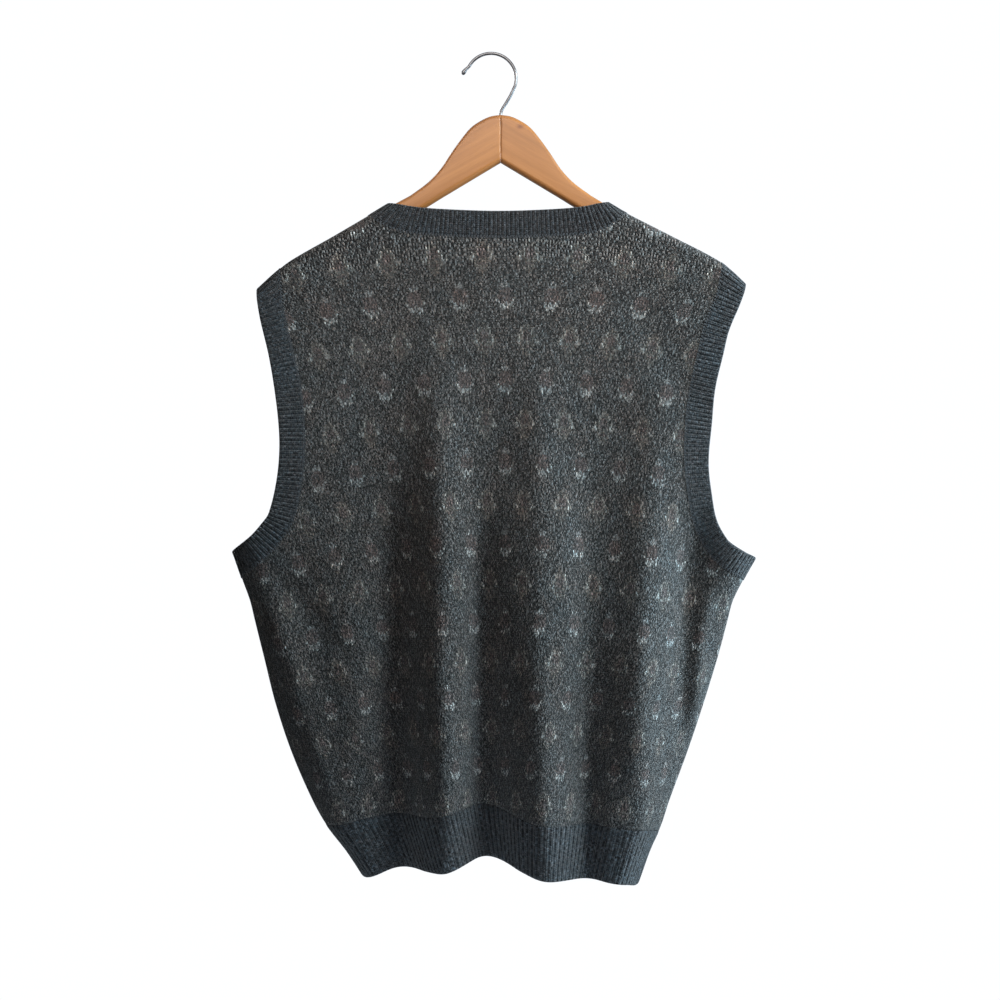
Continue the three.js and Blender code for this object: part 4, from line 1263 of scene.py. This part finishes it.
def makeArm(name, toward):
    sizes = hangerSizes
    top = curve(bareWood, 0, 1)
    under = curve(bareWood, 0, 2)
    rings = []
    for out in (clothSizes["seamGap"] / 2, 1.2, *np.arange(3, sizes["bareEnd"], 3.0), sizes["bareEnd"]):
        x = sizes["middle"] + toward * out
        thickness = sizes["halfThickness"] - (sizes["jointBevel"] if out < 1 else 0)
        rings.append(armSection(x, float(top(out)), float(under(out)), thickness))

    def height(out):
        share = (out - sizes["sleeveStart"]) / sizes["taperLength"]
        return mix(sizes["innerHeight"], sizes["outerHeight"], share)

    for out in np.linspace(sizes["sleeveStart"], sizes["sleeveEnd"], 24):
        x = sizes["middle"] + toward * out
        level = float(underCloth(x))
        rings.append(armSection(x, level, level - height(out), sizes["halfThickness"]))
    for turn in (0.25, 0.45, 0.62, 0.77, 0.88, 0.95, 0.99):  # round the end, closer together near its tip
        out = sizes["halfSpan"] - sizes["endRound"] * (1 - turn)
        x = sizes["middle"] + toward * out
        share = math.sqrt(1 - turn * turn)
        level = float(underCloth(x))
        drop = height(out) * (1 - share) / 2
        rings.append(armSection(x, level - drop, level - height(out) + drop, sizes["halfThickness"] * share))
    piece = loft(name, rings)
    boreStem(piece)
    return piece


def boreStem(piece):
    # half of the stem's hole is in each arm; the cutter ends well above the wood
    foot = hookSizes["stemFoot"] - clothSizes["seamGap"]
    top = hookSizes["stemTop"] + 20
    mesh = bpy.data.meshes.new("bore")
    work = bmesh.new()
    radius = (hookSizes["wire"] + clothSizes["seamGap"]) * mm
    depth = (top - foot) * mm
    bmesh.ops.create_cone(work, cap_ends=True, segments=32, radius1=radius, radius2=radius, depth=depth)
    bmesh.ops.translate(work, verts=work.verts, vec=(hangerSizes["middle"] * mm, 0, (top + foot) / 2 * mm))
    finishMesh(work, mesh)
    cutter = addPiece("bore", mesh)
    modifier = piece.modifiers.new("bore", "BOOLEAN")
    modifier.operation = "DIFFERENCE"
    modifier.solver = "EXACT"
    modifier.object = cutter
    keepResult(piece, modifier)
    bpy.data.objects.remove(cutter)


def hookPath():
    # across, up, wire radius
    sizes = hookSizes
    middle = hangerSizes["middle"]
    wire, bend = sizes["wire"], sizes["bend"]
    rows = [(middle, sizes["stemFoot"], wire), (middle, sizes["stemTop"] - sizes["straightEnd"], wire)]
    rows += [(middle + out, sizes["stemTop"] + up, wire) for out, up in hookLean]
    for angle in np.radians(np.linspace(sizes["leaveAngle"], sizes["tipAngle"], sizes["bendSteps"])):
        rows.append((bend * math.cos(angle), wire - bend + bend * math.sin(angle), wire))
    return np.array(rows + hookFlare)


def makeHook(name):
    path = hookPath()
    tangent = np.gradient(path[:, :2], axis=0)
    tangent /= np.linalg.norm(tangent, axis=1, keepdims=True)
    turn = np.linspace(0, 2 * np.pi, hookSizes["sides"], endpoint=False)
    across = np.cos(turn)
    rings = []
    for (x, z, radius), (alongX, alongZ) in zip(path, tangent):
        ring = (x - alongZ * radius * across, radius * np.sin(turn), z + alongX * radius * across)
        rings.append(np.stack(ring, -1))
    return loft(name, rings)


# Light, floor and camera, in metres

viewSizes = {
    "distance": 1.65,
    "middleX": 0.009,
    "middleZ": -0.445,
    "frameWidth": 1.0,
}
floorSizes = {
    "height": -1.75,
    "radius": 2.4,
}
backdropLight = {  # strength for what the camera, the cloth and the steel see of it
    "camera": 1.05,
    "cloth": 0.02,
    "steel": 0.6,
}
vestMiddle = (0.0, 0.0, -0.45)
lamps = {  # place, what it faces, size, watts, colour, spread in degrees
    "key": ((1.10, -0.45, 0.15), vestMiddle, 0.8, 5.5, (0.76, 0.93, 1.0), 70),
    "side": ((1.30, -0.06, -0.45), (0.2, -0.03, -0.5), 0.5, 3.0, (0.60, 0.84, 1.0), 70),
    "above": ((-0.02, -0.42, 0.12), (0.0, 0.0, -0.15), 0.5, 0.70, (1.0, 0.93, 0.88), 90),
    "below": ((0.50, -0.45, -1.05), (0.0, 0.0, -0.75), 0.4, 1.3, (0.70, 0.87, 1.0), 180),
    "hem": ((-0.06, -0.25, -1.03), (-0.02, 0.0, -0.8), 0.3, 0.48, (0.72, 0.87, 1.0), 180),
    "fill": ((-1.6, -1.4, -0.5), vestMiddle, 1.4, 0.5, (0.95, 0.96, 1.0), 180),
    "behind": ((-1.2, 2.2, 0.5), vestMiddle, 1.2, 26.0, (1.0, 0.98, 0.95), 180),
}


def addLight(name, place, aim, size, energy, colour, spread):
    data = bpy.data.lights.new(name, "AREA")
    data.shape = "DISK"
    data.size = size
    data.energy = energy
    data.color = colour
    data.spread = math.radians(spread)
    lamp = addPiece(name, data)
    lamp.location = place
    lamp.rotation_euler = (Vector(aim) - Vector(place)).to_track_quat("-Z", "Y").to_euler()
    lamp.visible_camera = False


def makeFloor():
    mesh = bpy.data.meshes.new("paleFloor")
    work = bmesh.new()
    bmesh.ops.create_circle(work, cap_ends=True, segments=96, radius=floorSizes["radius"])
    bmesh.ops.translate(work, verts=work.verts, vec=(0, 0, floorSizes["height"]))
    finishMesh(work, mesh)
    floor = addPiece("paleFloor", mesh)
    surface = {"Base Color": (0.86, 0.86, 0.85, 1), "Roughness": 0.9}
    mesh.materials.append(newMaterial("paleFloor", surface)[0])


def makeWorld():
    # the camera and the steel see a white backdrop; the vest gets only a little of its light
    world = bpy.data.worlds.new("studio")
    world.use_nodes = True
    bpy.context.scene.world = world
    tree = world.node_tree
    path = tree.nodes.new("ShaderNodeLightPath")
    background = next(node for node in tree.nodes if node.type == "BACKGROUND")
    background.inputs["Color"].default_value = (0.95, 0.97, 1.0, 1)
    strength = backdropLight["cloth"]
    for ray, seen in (("Is Glossy Ray", "steel"), ("Is Camera Ray", "camera")):
        more = backdropLight[seen] - backdropLight["cloth"]
        strength = timesPlus(tree, path.outputs[ray], more, strength)
    tree.links.new(strength, background.inputs["Strength"])


def makeStudio():
    bpy.context.scene.view_settings.view_transform = "Standard"
    makeWorld()
    makeFloor()
    for name, lamp in lamps.items():
        addLight(name, *lamp)


def makeCamera():
    data = bpy.data.cameras.new("camera")
    data.angle = 2 * math.atan(viewSizes["frameWidth"] / 2 / viewSizes["distance"])
    camera = addPiece("camera", data)
    camera.location = (viewSizes["middleX"], -viewSizes["distance"], viewSizes["middleZ"])
    camera.rotation_euler = (math.pi / 2, 0, 0)
    bpy.context.scene.camera = camera


# Making

threadColours = {
    "seam": (0.050, 0.056, 0.064, 1),
    "pale": (0.30, 0.30, 0.28, 1),
}


def claim(piece, slot, *nodes):
    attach(piece, "root")
    if nodes:
        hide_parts(*nodes)


def cloth(piece, slot, node):
    claim(piece, slot, node)


makeCamera()
makeStudio()
print("studio ready")

panelKnit = panelKnitMaterial()
neckKnit = ribKnitMaterial("neckKnit", knitColours["neckRib"])
# a lighter copy of the neckband's knit for the hem and armhole bands: painted light
edgeKnitPaintedLight = ribKnitMaterial("edgeKnitPaintedLight", knitColours["edgeRibPaintedLight"])
seamThread = threadMaterial("seamThread", threadColours["seam"])
paleThread = threadMaterial("paleThread", threadColours["pale"])
blondWood = woodMaterial()
brightSteel = steelMaterial()
ribNodes = ribTree()
stitchNodes = stitchTree()
print("materials and node trees ready")

armLeft = makeArm("hangerArmLeft", -1)
armRight = makeArm("hangerArmRight", 1)
hook = makeHook("wireHook")
for arm, node in ((armLeft, "hanger_arm_left"), (armRight, "hanger_arm_right")):
    arm.data.materials.clear()
    arm.data.materials.append(blondWood)
    claim(arm, "hanger_wood", node)
hook.data.materials.append(brightSteel)
claim(hook, "hook_steel", "hook")
print("hanger ready")

backPanel = makePanel("back", "backPanel")
frontPanel = makePanel("front", "frontPanel")
for panel in (backPanel, frontPanel):
    panel.data.materials.append(panelKnit)
cloth(backPanel, "panel_knit", "back_panel")
cloth(frontPanel, "panel_knit", "front_panel")
print("panels ready")

cloth(makeHemRib("back", "backHemRib"), "rib_knit", "back_hem_rib")
cloth(makeHemRib("front", "frontHemRib"), "rib_knit", "front_hem_rib")
cloth(makeNeckband("neckRib"), "rib_knit", "neckband")
cloth(makeArmholeBand("left", "armholeRibLeft"), "rib_knit", "armhole_band_left")
cloth(makeArmholeBand("right", "armholeRibRight"), "rib_knit", "armhole_band_right")
print("ribs ready")

for side in ("left", "right"):
    claim(seamStitches(f"armholeSeam{side.title()}", armholePlace(side), *armholeSamples(side)), "rib_knit")
claim(seamStitches("neckSeam", neckPlace, *neckSamples()), "rib_knit")
claim(darnStitches(), "panel_knit")
claim(lintSpeck(), "panel_knit")
print("stitches ready")
